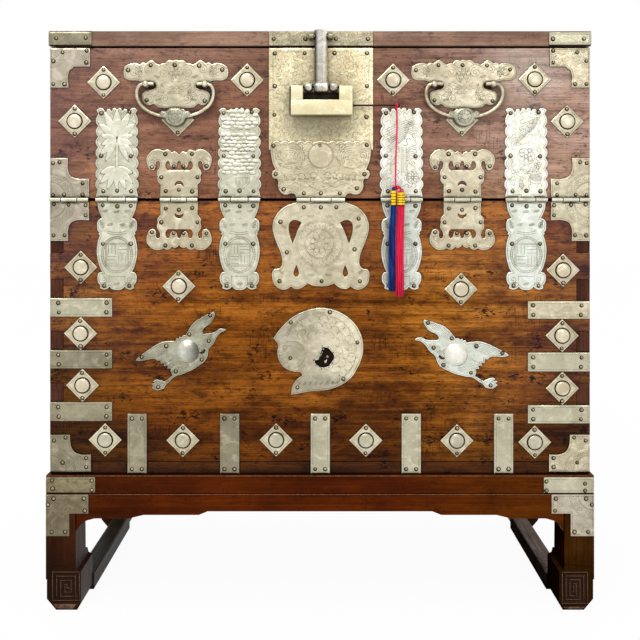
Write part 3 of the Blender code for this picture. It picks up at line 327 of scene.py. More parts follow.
def thread(name, tone, deep, light):
    """Silk yarn: bright threads, with painted shade in the folds between them."""
    shader = Shader(name, Sheen_Weight=0.06, Sheen_Roughness=0.4, Specular_IOR_Level=0.06)
    strands = shader.noise((900.0, 900.0, 40.0), 2.0, 0.5)
    locks = shader.noise((420.0, 420.0, 9.0), 2.0, 0.5)
    base = shader.coats(
        colour(tone),
        (strands, colour(light), (0.35, 0.0), (0.65, 1.0)),
        (locks, colour(deep), (0.36, 0.75), (0.52, 0.0)),
        # Painted shade where the threads close in on each other.
        (shader.shade(0.003), colour(deep), (0.25, 0.85), (0.80, 0.0)))
    shader.finish(base, shader.ramp(strands, (0.3, 0.75), (0.7, 0.55)), strands, 0.3, 0.0003)


def shine(low, high, *places):
    """Painted light and shade over a stretch of X in metres, from places in drawing units and shares of the
    tone there.
    """
    return low, high, [((u * PIXEL - low) / (high - low), share) for u, share in places]


# Painted highlights and shaded sides across the round hasp bar and the staples' balls.
LOCK_SHINE = shine(
    -0.030, 0.034, (-16.8, 0.30), (-14.5, 0.50), (-11.5, 0.72), (-9.4, 1.0), (-7.4, 0.40), (-5.0, 0.14),
    (-3.6, 0.34), (-1.8, 0.74), (1.4, 0.78), (2.6, 0.62), (3.4, 1.06), (6.8, 1.10), (8.2, 0.40), (9.2, 0.26),
    (11.0, 0.55), (14.5, 0.74), (16.8, 1.0), (18.6, 0.45))
# Painted light on the left of the left bird's dome, shading to dark on its right.
DOME_SHINE = shine(-143.5 * PIXEL, -120.5 * PIXEL, (-143, 0.80), (-138, 1.0), (-134, 0.95), (-130, 0.66),
                   (-126, 0.34), (-122, 0.16))
FOOT_WASH = [("up", "MULTIPLY", (0.66, 0.68, 0.74), (0.085, 1.0), (0.125, 0.0))]
wood("top_wood", (98, 70, 56), (140, 108, 90), (162, 128, 106), marks=0.6, roughness=0.36, gloss=0.3)
# The flap's wood carries a pale oval of painted reflection near its upper right.
wood("flap_wood", (86, 52, 38), (136, 92, 70), (162, 116, 92), marks=1.0, washes=[
    ("along", "MULTIPLY", (1.36, 1.52, 1.62), (0.05, 0.0), (0.11, 0.25), (0.17, 0.8), (0.21, 0.8),
     (0.32, 0.0)),
    ("along", "ADD", (0.0, 0.008, 0.022), (0.0, 1.0), (0.20, 0.0)),
    ("along", "MULTIPLY", (0.80, 0.72, 0.60), (0.33, 0.0), (0.42, 1.0), (0.54, 1.0), (0.63, 0.0)),
    ("along", "MULTIPLY", (1.55, 2.20, 2.9), (0.62, 0.0), (0.82, 0.85), (0.94, 1.0)),
    ("up", "MULTIPLY", (0.97, 0.79, 0.50), (0.680, 1.0), (0.79, 0.0)),
    ("up", "MULTIPLY", (0.80, 0.84, 0.90), (0.87, 0.0), (0.93, 1.0))],
     glow=((204.0, 534.0, 56.0, 42.0), (0.16, 0.15, 0.13)), roughness=0.32, gloss=0.3)
wood("panel_wood", (67, 31, 4), (142, 82, 19), (198, 125, 44), marks=1.0, washes=[
    ("along", "MULTIPLY", (0.88, 1.0, 1.3), (0.10, 1.0), (0.19, 0.0)),
    ("along", "MULTIPLY", (0.92, 0.89, 1.05), (0.18, 0.0), (0.22, 1.0), (0.48, 1.0), (0.52, 0.0)),
    ("along", "MULTIPLY", (0.74, 0.70, 0.86), (0.48, 0.0), (0.52, 1.0), (0.60, 1.0), (0.65, 0.0)),
    ("along", "MULTIPLY", (1.12, 1.22, 1.8), (0.64, 0.0), (0.69, 1.0), (0.80, 1.0), (0.86, 0.0)),
    ("along", "MULTIPLY", (0.70, 0.74, 1.0), (0.85, 0.0), (0.91, 1.0)),
    ("along", "ADD", (0.0, 0.006, 0.016), (0.06, 1.0), (0.30, 0.0)),
    ("along", "ADD", (0.0, 0.005, 0.014), (0.70, 0.0), (0.90, 1.0)),
    ("slanting", "MULTIPLY", (0.56, 0.48, 0.22), (0.300, 1.0), (0.40, 0.0)),
    ("arched", "MULTIPLY", (0.50, 0.48, 0.40), (0.19, 1.0), (0.29, 0.0)),
    ("up", "ADD", (0.003, 0.006, 0.014), (0.53, 0.0), (0.66, 1.0))], roughness=0.42, gloss=0.07)
wood("side_wood", (44, 24, 16), (74, 42, 28), (94, 56, 38), "Z", 0.6, gloss=0.12)
wood("base_wood", (36, 18, 6), (76, 40, 12), (98, 54, 18), marks=1.0, gloss=0.1)
wood("stand_wood", (58, 23, 0), (85, 37, 2), (100, 45, 4), marks=0.4, washes=[
    ("along", "MULTIPLY", (0.84, 0.92, 1.0), (0.10, 1.0), (0.30, 0.0)),
    ("along", "MULTIPLY", (1.0, 1.34, 1.6), (0.64, 0.0), (0.80, 1.0))], roughness=0.34, gloss=0.035)
wood("leg_wood", (40, 20, 7), (62, 33, 13), (76, 42, 18), "Z", 0.3, washes=FOOT_WASH, roughness=0.38,
     gloss=0.05)
# The right front leg's inner face is painted dark: painted shade.
wood("right_leg_shaded_wood", (42, 26, 10), (62, 38, 17), (76, 48, 22), "Z", 0.3, washes=FOOT_WASH,
     painted_face_shading=("X", -1.0, (0.16, 0.14, 0.14)), roughness=0.38, gloss=0.0)
wood("runner_wood", (28, 23, 16), (52, 45, 36), (68, 60, 48), "Y", 0.5, gloss=0.08)
# The right runner's top face is painted much lighter than its sides: painted light.
wood("right_runner_lit_wood", (22, 17, 13), (40, 33, 29), (54, 46, 40), "Y", 0.5,
     painted_face_shading=("Z", 1.0, (13.0, 15.0, 17.0)), gloss=0.0)
wood("carved_wood", (30, 18, 11), (48, 32, 22), (62, 44, 32), "Z", 0.3, gloss=0.04)
metal("white_brass", (222, 213, 186), (197, 185, 155), worn=0.65)
# The shell is darker on its left and near its foot and brighter on its right: painted shade and light.
metal("shell_brass", (222, 213, 188), (200, 189, 160), worn=0.65,
      painted_light_stripe=(-0.062, 0.066, [(0.0, 0.72), (0.3, 0.78), (0.55, 1.0), (0.85, 1.22)]),
      shadow_pool=((7.0, 222.0, 34.0, 16.0), 0.50))
metal("bright_brass", (251, 250, 236), (238, 236, 218), 0.36, 0.35, 55.0)
metal("pale_brass", (238, 243, 230), (219, 223, 208), 0.36, 0.4, 55.0)
metal("dull_brass", (222, 220, 199), (200, 197, 174), 0.40, 0.5, 55.0)
# The lock plate is paler towards its right, a painted reflection, and darker under the padlock, a painted
# shadow.
metal("lock_brass", (242, 230, 193), (222, 206, 166), 0.36, 0.5, maze=((105.0, 105.0, 105.0), 5.0),
      painted_light_stripe=(-0.086, 0.090, [(0.0, 1.06), (0.45, 1.02), (0.75, 1.10), (1.0, 1.30)]),
      shadow_pool=((1.0, 482.0, 46.0, 22.0), 0.66))
metal("crown_brass", (204, 194, 164), (178, 168, 138), 0.36, 0.7, maze=((120.0, 120.0, 120.0), 4.0),
      proud=FRONT - 0.0050)
# The wave plate grows brighter towards its right: painted sheen.
metal("wave_brass", (224, 213, 182), (204, 192, 160), 0.36, 0.5, maze=((38.0, 38.0, 110.0), 10.0),
      painted_light_stripe=(-0.078, 0.080, [(0.0, 0.97), (0.5, 1.0), (0.8, 1.18)]))
metal("leaf_brass", (240, 239, 220), (222, 219, 197), 0.38, 0.4, 55.0)
metal("corner_brass", (202, 192, 174), (178, 168, 148), 0.36, 0.5)
metal("strap_brass", (204, 199, 173), (182, 176, 150), 0.32, 0.35, 16.0)
metal("base_brass", (168, 160, 135), (138, 130, 107), 0.32, 0.4, 16.0)
metal("leg_brass", (144, 133, 108), (112, 102, 80), 0.32, 0.4, 16.0)
metal("dome_brass", (224, 222, 206), (198, 195, 178), 0.30, 0.4, 90.0, painted_light_stripe=DOME_SHINE)
metal("case_brass", (241, 232, 195), (232, 219, 176), 0.38, 0.18, 24.0)
metal("bail_brass", (222, 213, 188), (182, 172, 144), 0.32, 0.7, 90.0)
metal("ball_silver", (246, 243, 234), (214, 206, 190), 0.30, 0.7, 90.0, painted_light_stripe=LOCK_SHINE,
      narrow_darkening=0.35, deep=0.15)
metal("bird_brass", (190, 187, 165), (156, 153, 132), 0.33, 0.7, 60.0)
metal("boss_brass", (230, 219, 193), (206, 192, 161), 0.30, 0.3, 60.0)
metal("nail_brass", (186, 175, 140), (128, 117, 88), 0.30, 0.4)
metal("pin_brass", (150, 140, 110), (112, 102, 78), 0.40, 0.7)
plain("cut_line", (98, 92, 74), (132, 125, 103), 0.6, 0.5)
# Dark brown for cracks and joints, and for painted shade and shadow by plates, nails, bosses, holes and
# carved grooves.
plain("grime_and_shade", (24, 17, 13), (42, 30, 22), 0.8)
# Dark brown for cracks, turtle lines and the lock's seam, and for painted shade by curls, posts and the
# centre plate's top.
plain("stain_and_shade", (58, 30, 14), (34, 18, 9), 0.7)
plain("worn_foot", (112, 88, 74), (58, 38, 28), 0.7, cells=(170.0, 170.0, 170.0))
# Pale lines of painted highlight along the stand's top edges and the feet's carved ridges.
plain("worn_edge", (150, 112, 84), (104, 66, 40), 0.6)
plain("iron", (34, 30, 28), (60, 54, 50), 0.5, 0.8)
thread("red_silk", (222, 20, 62), (128, 4, 26), (244, 60, 96))
thread("blue_silk", (14, 42, 116), (4, 10, 44), (42, 78, 160))
thread("ring_silk", (112, 56, 8), (60, 24, 4), (136, 74, 14))
thread("gold_silk", (236, 188, 22), (140, 84, 6), (252, 218, 70))


def linked(name, data):
    """Object of the scene from its data."""
    made = bpy.data.objects.new(name, data)
    bpy.context.scene.collection.objects.link(made)
    return made


def show(name, mesh, body, look, node=None, angle=34.0):
    """Piece from a mesh, in its place, on its body, standing for a node where one is named."""
    bmesh.ops.recalc_face_normals(mesh, faces=mesh.faces[:])
    data = bpy.data.meshes.new(name)
    mesh.to_mesh(data)
    mesh.free()
    data.shade_smooth()
    data.set_sharp_from_angle(angle=math.radians(angle))
    data.materials.append(LOOKS[look])
    piece = linked(name, data)
    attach(piece, body)
    if node:
        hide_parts(node)
    return piece


def sides(loop):
    """Pairs of neighbouring points round a loop."""
    return list(zip(loop, loop[1:] + loop[:1]))


def rejoined(loop):
    """Line round a loop and back to its first point."""
    return loop + loop[:1]


def oval(u, v, wide, high, count=12):
    return [(u + wide * math.cos(2 * math.pi * i / count), v + high * math.sin(2 * math.pi * i / count))
            for i in range(count)]


def rectangle(low_u, low_v, high_u, high_v):
    return [(low_u, low_v), (high_u, low_v), (high_u, high_v), (low_u, high_v)]


def place(axis, u, v, w):
    """Point from two coordinates across an axis and one along it."""
    return {"X": (w, u, v), "Y": (u, w, v), "Z": (u, v, w)}[axis]


def skin(mesh, rings):
    """Faces over rings of equal length, with both ends closed."""
    rows = [[mesh.verts.new(point) for point in ring] for ring in rings]
    for row, following in zip(rows, rows[1:]):
        for (a, b), (c, d) in zip(sides(row), sides(following)):
            mesh.faces.new((a, b, d, c))
    mesh.faces.new(list(reversed(rows[0])))
    mesh.faces.new(rows[-1])


def turned(mesh, profile, axis, u, v, count=20):
    """Round solid about a line through (u, v); the profile lists (along, radius)."""
    skin(mesh, [[place(axis, a, b, along) for a, b in oval(u, v, radius, radius, count)]
                for along, radius in profile])


def knob(mesh, profile, x, z, count):
    """Round solid that stands out of the front at a place in drawing units."""
    turned(mesh, profile, "Y", x * PIXEL, z * PIXEL, count)


def tube(mesh, path, radius, count=12):
    """Round rod along a path; the radius is one number or one for each point."""
    points = [Vector(p) for p in path]
    widths = radius if isinstance(radius, list) else [radius] * len(points)
    side = None
    rings = []
    for i, point in enumerate(points):
        tangent = (points[min(i + 1, len(points) - 1)] - points[max(i - 1, 0)]).normalized()
        side = tangent.orthogonal() if side is None else side - tangent * side.dot(tangent)
        side.normalize()
        other = tangent.cross(side)
        rings.append([tuple(point + (side * math.cos(a) + other * math.sin(a)) * widths[i])
                      for a in (2 * math.pi * k / count for k in range(count))])
    skin(mesh, rings)


def curve(points, steps=4, closed=False, keep=46.0, dip=46.0):
    """Smooth run through points; outer corners over keep degrees and inner ones over dip stay sharp."""
    points = [np.array(p, float) for p in points]
    count = len(points)
    hand = sum(a[0] * b[1] - b[0] * a[1] for a, b in sides(points))

    def slope(i):
        if not closed and i in (0, count - 1):
            return None
        before = points[i] - points[i - 1]
        after = points[(i + 1) % count] - points[i]
        cosine = before.dot(after) / (np.linalg.norm(before) * np.linalg.norm(after) + 1e-12)
        limit = keep
        if closed and hand * (before[0] * after[1] - before[1] * after[0]) < 0:
            limit = dip
        if math.degrees(math.acos(max(-1.0, min(1.0, cosine)))) > limit:
            return None
        a, b = np.linalg.norm(before), np.linalg.norm(after)
        return (before / a * b + after / b * a) / (a + b)

    slopes = [slope(i) for i in range(count)]
    run = []
    for i in range(count if closed else count - 1):
        start, end = points[i], points[(i + 1) % count]
        chord = end - start
        length = np.linalg.norm(chord)
        first = chord if slopes[i] is None else slopes[i] * length
        last = chord if slopes[(i + 1) % count] is None else slopes[(i + 1) % count] * length
        for k in range(steps):
            t = k / steps
            run.append(tuple(start * (2 * t**3 - 3 * t**2 + 1) + first * (t**3 - 2 * t**2 + t)
                             + end * (3 * t**2 - 2 * t**3) + last * (t**3 - t**2)))
    if not closed:
        run.append(tuple(points[-1]))
    return run


def within(points, loop):
    """Which of the flat points lie inside a loop."""
    loop = np.array(loop)
    ahead = np.roll(loop, -1, axis=0)
    inside = np.zeros(len(points), bool)
    for (u0, v0), (u1, v1) in zip(loop, ahead):
        if v0 != v1:
            crosses = (v0 > points[:, 1]) != (v1 > points[:, 1])
            inside ^= crosses & (points[:, 0] < u0 + (u1 - u0) * (points[:, 1] - v0) / (v1 - v0))
    return inside


def edge_distance(points, loops):
    """Distance of each flat point from the nearest edge of the loops."""
    best = np.full(len(points), 1e9)
    for loop in loops:
        start = np.array(loop)
        run = np.roll(start, -1, axis=0) - start
        length = (run**2).sum(1) + 1e-18
        for s, r, q in zip(start, run, length):
            t = np.clip(((points - s) @ r) / q, 0, 1)
            best = np.minimum(best, np.linalg.norm(points - s - t[:, None] * r, axis=1))
    return best


def grown(loop, distance):
    """Loop moved outwards by a distance, or inwards where that is negative."""
    points = np.array(loop)
    turn = np.sum(points[:, 0] * np.roll(points[:, 1], -1) - np.roll(points[:, 0], -1) * points[:, 1])
    sign = 1.0 if turn > 0 else -1.0
    before = points - np.roll(points, 1, axis=0)
    after = np.roll(points, -1, axis=0) - points
    normals = []
    for run in (before, after):
        normal = np.stack([run[:, 1], -run[:, 0]], axis=1) * sign
        normals.append(normal / (np.linalg.norm(normal, axis=1)[:, None] + 1e-12))
    middle = normals[0] + normals[1]
    scale = np.maximum((middle**2).sum(1), 0.8)
    return [tuple(p) for p in points + middle * (2 * distance / scale)[:, None]]


def fill(points, loops):
    """Triangles between the loops, whose points come first in the list; and the points they use."""
    edges = []
    start = 0
    for loop in loops:
        edges += [(start + i, start + (i + 1) % len(loop)) for i in range(len(loop))]
        start += len(loop)
    made = delaunay_2d_cdt([Vector(p) for p in points], edges, [], 1, 1e-7)
    verts = np.array([tuple(v) for v in made[0]])
    faces = np.array([f for f in made[2] if len(f) == 3])
    middles = verts[faces].mean(axis=1)
    keep = np.ones(len(faces), bool)
    for hole in loops[1:]:
        keep &= ~within(middles, hole)
    rim = {}
    for index, origins in enumerate(made[3]):
        for origin in origins:
            if origin < start:
                rim[origin] = index
    return verts, faces[keep], rim


def sheet(mesh, loops, face, back, swell=None, spacing=0.0030, edge=0.0009, drop=0.0006):
    """Closed plate with rounded edges and a slightly uneven front; swell gives how far a point stands out."""
    flat = [p for loop in loops for p in loop]
    inner = []
    for number, loop in enumerate(loops):
        inner += grown(loop, -edge if number == 0 else edge)
    corners = np.array(loops[0])
    low, high = corners.min(0), corners.max(0)
    rows = int((high[1] - low[1]) / (spacing * NET_ROW)) + 1
    columns = int((high[0] - low[0]) / spacing) + 1
    grid = np.array([(low[0] + (i + 0.5 * (j % 2)) * spacing, low[1] + j * spacing * NET_ROW)
                     for j in range(rows) for i in range(columns)])
    free = np.concatenate([np.array(inner), grid])
    inside = within(free, loops[0])
    for hole in loops[1:]:
        inside &= ~within(free, hole)
    reach = edge_distance(free, loops)
    least = np.where(np.arange(len(free)) < len(inner), edge * 0.7, edge * 1.9)
    free = free[inside & (reach > least)]
    verts, faces, rim = fill(flat + [tuple(p) for p in free], loops)
    reach = edge_distance(verts, loops)
    fall = np.clip(1 - reach / edge, 0, 1) ** 2 * drop
    fronts = []
    for (u, v), down in zip(verts, fall):
        rise = swell(u, v) if swell else 0.0
        rise += noise.noise(Vector((u * WAVES, v * WAVES, 3.7))) * UNEVEN
        fronts.append(mesh.verts.new((u, face + down - rise * (1 - down / drop), v)))
    for a, b, c in faces:
        mesh.faces.new((fronts[a], fronts[b], fronts[c]))
    backs = {index: mesh.verts.new((flat[index][0], back, flat[index][1])) for index in rim}
    _, under, under_rim = fill(flat, loops)
    names = {vert: index for index, vert in under_rim.items()}
    for a, b, c in under:
        mesh.faces.new((backs[names[c]], backs[names[b]], backs[names[a]]))
    start = 0
    for loop in loops:
        for i in range(len(loop)):
            a, b = start + i, start + (i + 1) % len(loop)
            mesh.faces.new((fronts[rim[a]], fronts[rim[b]], backs[b], backs[a]))
        start += len(loop)
    return mesh


def outlines(mesh):
    """Loops of corners round the widest level of a mesh's front, the longest first."""
    fronts = [face for face in mesh.polygons if face.normal.y < FACES_FRONT]
    areas = {}
    for face in fronts:
        level = round(face.center.y, 5)
        areas[level] = areas.get(level, 0.0) + face.area
    level = max(areas, key=areas.get)
    rim = {}
    for face in fronts:
        if abs(face.center.y - level) < SAME_LEVEL:
            corners = [mesh.vertices[i].co for i in face.vertices]
            for a, b in sides([(round(corner.x, 6), round(corner.z, 6)) for corner in corners]):
                if (b, a) in rim:
                    del rim[(b, a)]
                else:
                    rim[(a, b)] = True
    following = {a: b for a, b in rim}
    loops = []
    while following:
        start, point = next(iter(following.items()))
        loop = [start]
        del following[start]
        while point != start and point in following:
            loop.append(point)
            point = following.pop(point)
        loops.append(loop)
    return sorted(loops, key=lambda run: -max(np.ptp(np.array(run), axis=0)))


def bends(loop):
    """Runs before and after each point of a loop, and the cross products between them."""
    points = np.array(loop)
    before, after = points - np.roll(points, 1, axis=0), np.roll(points, -1, axis=0) - points
    return before, after, before[:, 0] * after[:, 1] - before[:, 1] * after[:, 0]


def front_loops(node, steps=4, holes=True, keep=46.0, dip=46.0, deepen=0.0):
    """Smoothed outline of a sheet node's front, then its openings; deepen cuts inner corners in."""
    loops = outlines(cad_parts[node].data)
    clean = []
    for loop in loops if holes else loops[:1]:
        before, after, cross = bends(loop)
        straight = 0.004 * np.linalg.norm(before, axis=1) * np.linalg.norm(after, axis=1) + 1e-12
        kept = [point for point, bent in zip(loop, np.abs(cross) > straight) if bent]
        if deepen:
            before, after, cross = bends(kept)
            bend = np.degrees(np.arctan2(cross, (before * after).sum(1)))
            hand = math.copysign(1.0, bend.sum())
            cut = grown(kept, -deepen * PIXEL)
            kept = [b if hand * turn < -15.0 else a for a, b, turn in zip(kept, cut, bend)]
        clean.append(curve(kept, steps, True, keep, dip))
    return clean


def scaled(points, x=0.0, z=0.0, flip=1.0, turn=0.0):
    """Drawing-unit points set at a place on the front, in metres."""
    cosine, sine = math.cos(math.radians(turn)), math.sin(math.radians(turn))
    return [((x + flip * u * cosine - v * sine) * PIXEL, (z + flip * u * sine + v * cosine) * PIXEL)
            for u, v in points]


def drawn(lines, *at):
    """Several lines in drawing units, each set at the same place."""
    return [scaled(line, *at) for line in lines]


# Outlines of the plates, for the dark lines of painted shadow and dirt round them.
shadow_and_grime_outlines = {"carcass": [], "flap": []}


def plate(name, loops, body, look="white_brass", node=None, face=FACE, swell=None, spacing=0.003):
    """Sheet plate piece; its outline is kept for the dirt and painted shadow around it on the wood."""
    back = face + PLATE
    if face != CENTRE_FACE:
        shadow_and_grime_outlines[body] += [(loop, back) for loop in loops]
    mesh = sheet(bmesh.new(), loops, face, back, swell, spacing)
    return show(name, mesh, body, look, node=node, angle=50.0)


def make_stage():
    """Camera at the photograph's place, white surroundings, pale floor and two soft lamps."""
    scene = bpy.context.scene
    lens = bpy.data.cameras.new("camera")
    lens.lens = 51.2
    lens.sensor_width = 36.0
    lens.shift_y = -0.181
    lens.clip_start = 0.05
    camera = linked("camera", lens)
    camera.location = (0.0, -1.7075, 0.6658)
    camera.rotation_euler = (math.radians(90.0), 0.0, 0.0)
    scene.camera = camera
    scene.view_settings.view_transform = "Standard"

    world = bpy.data.worlds.new("studio")
    world.use_nodes = True
    scene.world = world
    nodes = Nodes(world.node_tree)
    height = nodes.split(nodes.add("TexCoord").outputs["Generated"], "Z")
    sky = nodes.ramp(nodes.math("MULTIPLY_ADD", height, 0.5, 0.5), (0.0, (0.42, 0.41, 0.40)), (0.44, 0.62),
                     (0.52, 0.86), (0.70, 0.98), (1.0, 1.0))
    background = nodes.tree.nodes["Background"]
    nodes.put(nodes.mix(nodes.background_ray(), sky, (1.0, 1.0, 1.0)), background.inputs["Color"])
    background.inputs["Strength"].default_value = 1.0

    for name, size, energy, place_at, target in (
            ("key", (1.5, 0.8), 30.0, (-0.6, -1.7, 2.6), (0.0, -0.1, 0.5)),
            ("window", (0.10, 0.34), 0.9, (0.70, -1.75, 1.12), (0.34, -0.2, 0.88))):
        lamp = bpy.data.lights.new(name, "AREA")
        lamp.shape = "RECTANGLE"
        lamp.size, lamp.size_y = size
        lamp.energy = energy
        lamp.color = (1.0, 0.985, 0.96)
        held = linked(name, lamp)
        held.location = place_at
        held.rotation_euler = (Vector(target) - held.location).to_track_quat("-Z", "Y").to_euler()
        held.visible_camera = False

    shader = Shader("pale_floor", Base_Color=(0.90, 0.90, 0.89), Roughness=0.9)
    glow = shader.add("Emission", {"Color": (1.0, 1.0, 1.0), "Strength": 1.0})
    share = shader.math("MULTIPLY", shader.background_ray(), 0.95)
    blend = shader.add("MixShader", {0: share, 1: shader.surface.outputs[0], 2: glow.outputs[0]})
    shader.put(blend.outputs[0], shader.tree.nodes["Material Output"].inputs["Surface"])
    data = bpy.data.meshes.new("floor")
    data.from_pydata([(x, y, -0.0003) for x, y in rectangle(-9, -9, 9, 9)], [], [(0, 1, 2, 3)])
    data.materials.append(shader.material)
    linked("floor", data)


def board(name, low, high, body, look, node=None, round_off=0.0012):
    """Box with softened edges between two corners."""
    mesh = bmesh.new()
    bmesh.ops.create_cube(mesh, size=1.0)
    for vert in mesh.verts:
        vert.co = [low[i] + (high[i] - low[i]) * (vert.co[i] + 0.5) for i in range(3)]
    bmesh.ops.bevel(mesh, geom=mesh.edges[:], offset=round_off, segments=3, affect="EDGES", profile=0.5)
    return show(name, mesh, body, look, node)


def prism(outline, low, high, round_off):
    """Board with a drawn (x, z) outline and softened edges."""
    mesh = bmesh.new()
    face = mesh.faces.new([mesh.verts.new((u, low, v)) for u, v in outline])
    for part in bmesh.ops.extrude_face_region(mesh, geom=[face])["geom"]:
        if isinstance(part, bmesh.types.BMVert):
            part.co.y = high
    bmesh.ops.recalc_face_normals(mesh, faces=mesh.faces[:])
    bmesh.ops.bevel(mesh, geom=mesh.edges[:], offset=round_off, segments=2, affect="EDGES", profile=0.5)
    return mesh


def make_boards():
    """Front boards as plain wood, with their fittings as pieces of their own."""
    back = FRONT + DEPTH
    board("wood_top", (-HALF_WIDTH - TOP_LIP, FRONT - TOP_LIP, 562 * PIXEL),
          (HALF_WIDTH + TOP_LIP, back, 577 * PIXEL), "carcass", "top_wood", "top_board", 0.0018)
    board("wood_flap", (-HALF_WIDTH, FRONT, HINGE_Z + 0.0021), (HALF_WIDTH, FRONT + BOARD, 560.2 * PIXEL),
          "flap", "flap_wood", "flap_board")
    low, high, fingers = 147 * PIXEL + GAP, HINGE_Z - 0.0021, 10
    ends = []
    for i in range(fingers):
        edge = HALF_WIDTH - (BOARD + GAP if i % 2 == 0 else 0.0)
        ends += [(edge, low + (high - low) * k / fingers) for k in (i, i + 1)]
    outline = ends + [(-x, z) for x, z in reversed(ends)]
    show("wood_panel", prism(outline, FRONT, FRONT + BOARD, 0.0005), "carcass", "panel_wood",
         "lower_front_panel")

    half, bottom, top, rail = 546.5 / 2 * PIXEL, 115.4 * PIXEL, 134 * PIXEL, 0.060
    outer = rectangle(-half, FRONT - STAND_LIP, half, back + STAND_LIP)
    inner = rectangle(-half + rail, FRONT - STAND_LIP + rail, half - rail, back + STAND_LIP - rail)
    mesh = bmesh.new()
    rows = [[mesh.verts.new((x, y, z)) for x, y in ring]
            for ring, z in ((outer, bottom), (outer, top), (inner, top), (inner, bottom))]
    for row, following in sides(rows):
        for (a, b), (c, d) in zip(sides(row), sides(following)):
            mesh.faces.new((a, b, d, c))
    bmesh.ops.recalc_face_normals(mesh, faces=mesh.faces[:])
    sharp = [e for e in mesh.edges if e.calc_face_angle(0.0) > 0.5]
    bmesh.ops.bevel(mesh, geom=sharp, offset=0.0015, segments=3, affect="EDGES", profile=0.5)
    show("wood_stand_frame", mesh, "carcass", "stand_wood", "stand_top_frame")

    kept = {"base_wood": ["bottom_board"], "side_wood": ["back_board", "left_side_board", "right_side_board"],
            "stand_wood": ["front_apron", "back_apron"], "right_runner_lit_wood": ["right_runner"],
            "runner_wood": ["left_apron", "right_apron", "left_runner"],
            "leg_wood": ["front_left_leg", "back_left_leg", "back_right_leg"],
            "right_leg_shaded_wood": ["front_right_leg"]}
    for look, nodes in kept.items():
        for node in nodes:
            keep(node, look, 0.0005 if "side" in node else 0.0014)


def keep(node, look, round_off, angle=38.0):
    """CAD node that stays, with its edges softened and a finish of its own."""
    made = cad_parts[node]
    made.data.materials.clear()
    made.data.materials.append(LOOKS[look])
    if "custom_normal" in made.data.attributes:
        made.data.attributes.remove(made.data.attributes["custom_normal"])
    made.data.shade_smooth()
    made.modifiers.new("weld", "WELD").merge_threshold = 0.00002
    flat = made.modifiers.new("flat", "DECIMATE")
    flat.decimate_type = "DISSOLVE"
    flat.angle_limit = math.radians(1.0)
    soft = made.modifiers.new("soft", "BEVEL")
    soft.width = round_off
    soft.segments = 2
    soft.limit_method = "ANGLE"
    soft.angle_limit = math.radians(angle)
    made.modifiers.new("shading", "WEIGHTED_NORMAL").keep_sharp = False


LONG_HINGES = (-202.8, -80.5, 81.5, 206.0)
FRET_HINGES = (-140.8, 142.1)
CENTRE_HINGE = 0.8
LOCK_X = 1.0
HANDLES = {"left": -144.0, "right": 143.5}
FLAP_DIAMONDS = [
    (-216.2, 525.8), (-245.1, 487.0), (-72.8, 528.1), (73.2, 528.0), (214.6, 528.7), (247.0, 486.6),
]
STRIKE_DIAMONDS = [(-142.0, 488.2), (142.0, 488.2)]
PANEL_DIAMONDS = [
    (-239.0, 341.0), (-141.0, 322.0), (141.0, 319.0), (243.0, 338.0), (-239.2, 274.8), (-237.3, 223.0),
    (242.0, 272.6), (242.2, 220.0), (-214.7, 168.5), (-137.0, 168.0), (-43.8, 168.4), (45.8, 168.0),
    (136.8, 167.7), (214.6, 166.2),
]
SIDE_STRAPS = [
    (-269.8, 291.7, -207.8, 310.0), (-269.8, 239.9, -207.8, 258.0), (-269.8, 187.4, -207.8, 206.1),
    (207.8, 289.5, 269.8, 307.0), (207.8, 236.9, 269.8, 255.7), (207.8, 185.0, 269.8, 203.1),
]
BASE_STRAPS = (-182.8, -90.3, 0.3, 91.2, 183.5)
BIRDS = {"left": (-132.0, 257.0, 1.0, 0.0), "right": (136.0, 253.6, -1.0, 9.0)}
TORTOISE_AT = (1.0, 258.0)
LEAF_NAILS = [(-15.5, 86.5), (12.5, 87.5), (-15.5, 44.0), (14.0, 43.5), (-13.5, 8.5), (0.3, 9.0), (14.3, 8.5)]
LEAVES = {"flap": "_upper_leaf", "carcass": "_lower_leaf"}
# Half the stand's width, in drawing units
STAND_END = 273.25
nail_places = {}


def nail(body, face, places, x=0.0, z=0.0):
    """Nail heads to make, in drawing units from the middle and the floor, or from a place given by them."""
    nail_places.setdefault((body, face), []).extend((x + u, z + v) for u, v in places)


def seen(*places):
    """Drawing-unit places from a picture's columns and rows."""
    return [(u - MIDDLE_COLUMN, FLOOR_ROW - v) for u, v in places]


def dome(u, v, radius, height):
    """Round swelling of a plate."""
    def rise(x, z):
        reach = math.hypot(x - u * PIXEL, z - v * PIXEL) / (radius * PIXEL)
        return height * math.sqrt(1 - reach**2) if reach < 1 else 0.0
    return rise


def ribbons(name, lines, body, face, look="cut_line", width=0.00042, height=0.00022, swell=None):
    """Fine ridges along flat lines, set into the face under them."""
    mesh = bmesh.new()
    for line in lines:
        points = np.array(line)
        run = np.gradient(points, axis=0)
        side = np.stack([-run[:, 1], run[:, 0]], axis=1)
        side *= width / (np.linalg.norm(side, axis=1)[:, None] + 1e-12)
        rings = []
        for (u, v), (a, b) in zip(points, side):
            level = face - (swell(u, v) if swell else 0.0)
            foot = level + SET_IN
            rings.append([(u - a, foot, v - b), (u + a, foot, v + b), (u, level - height, v)])
        skin(mesh, rings)
    return show(name, mesh, body, look, angle=180.0)


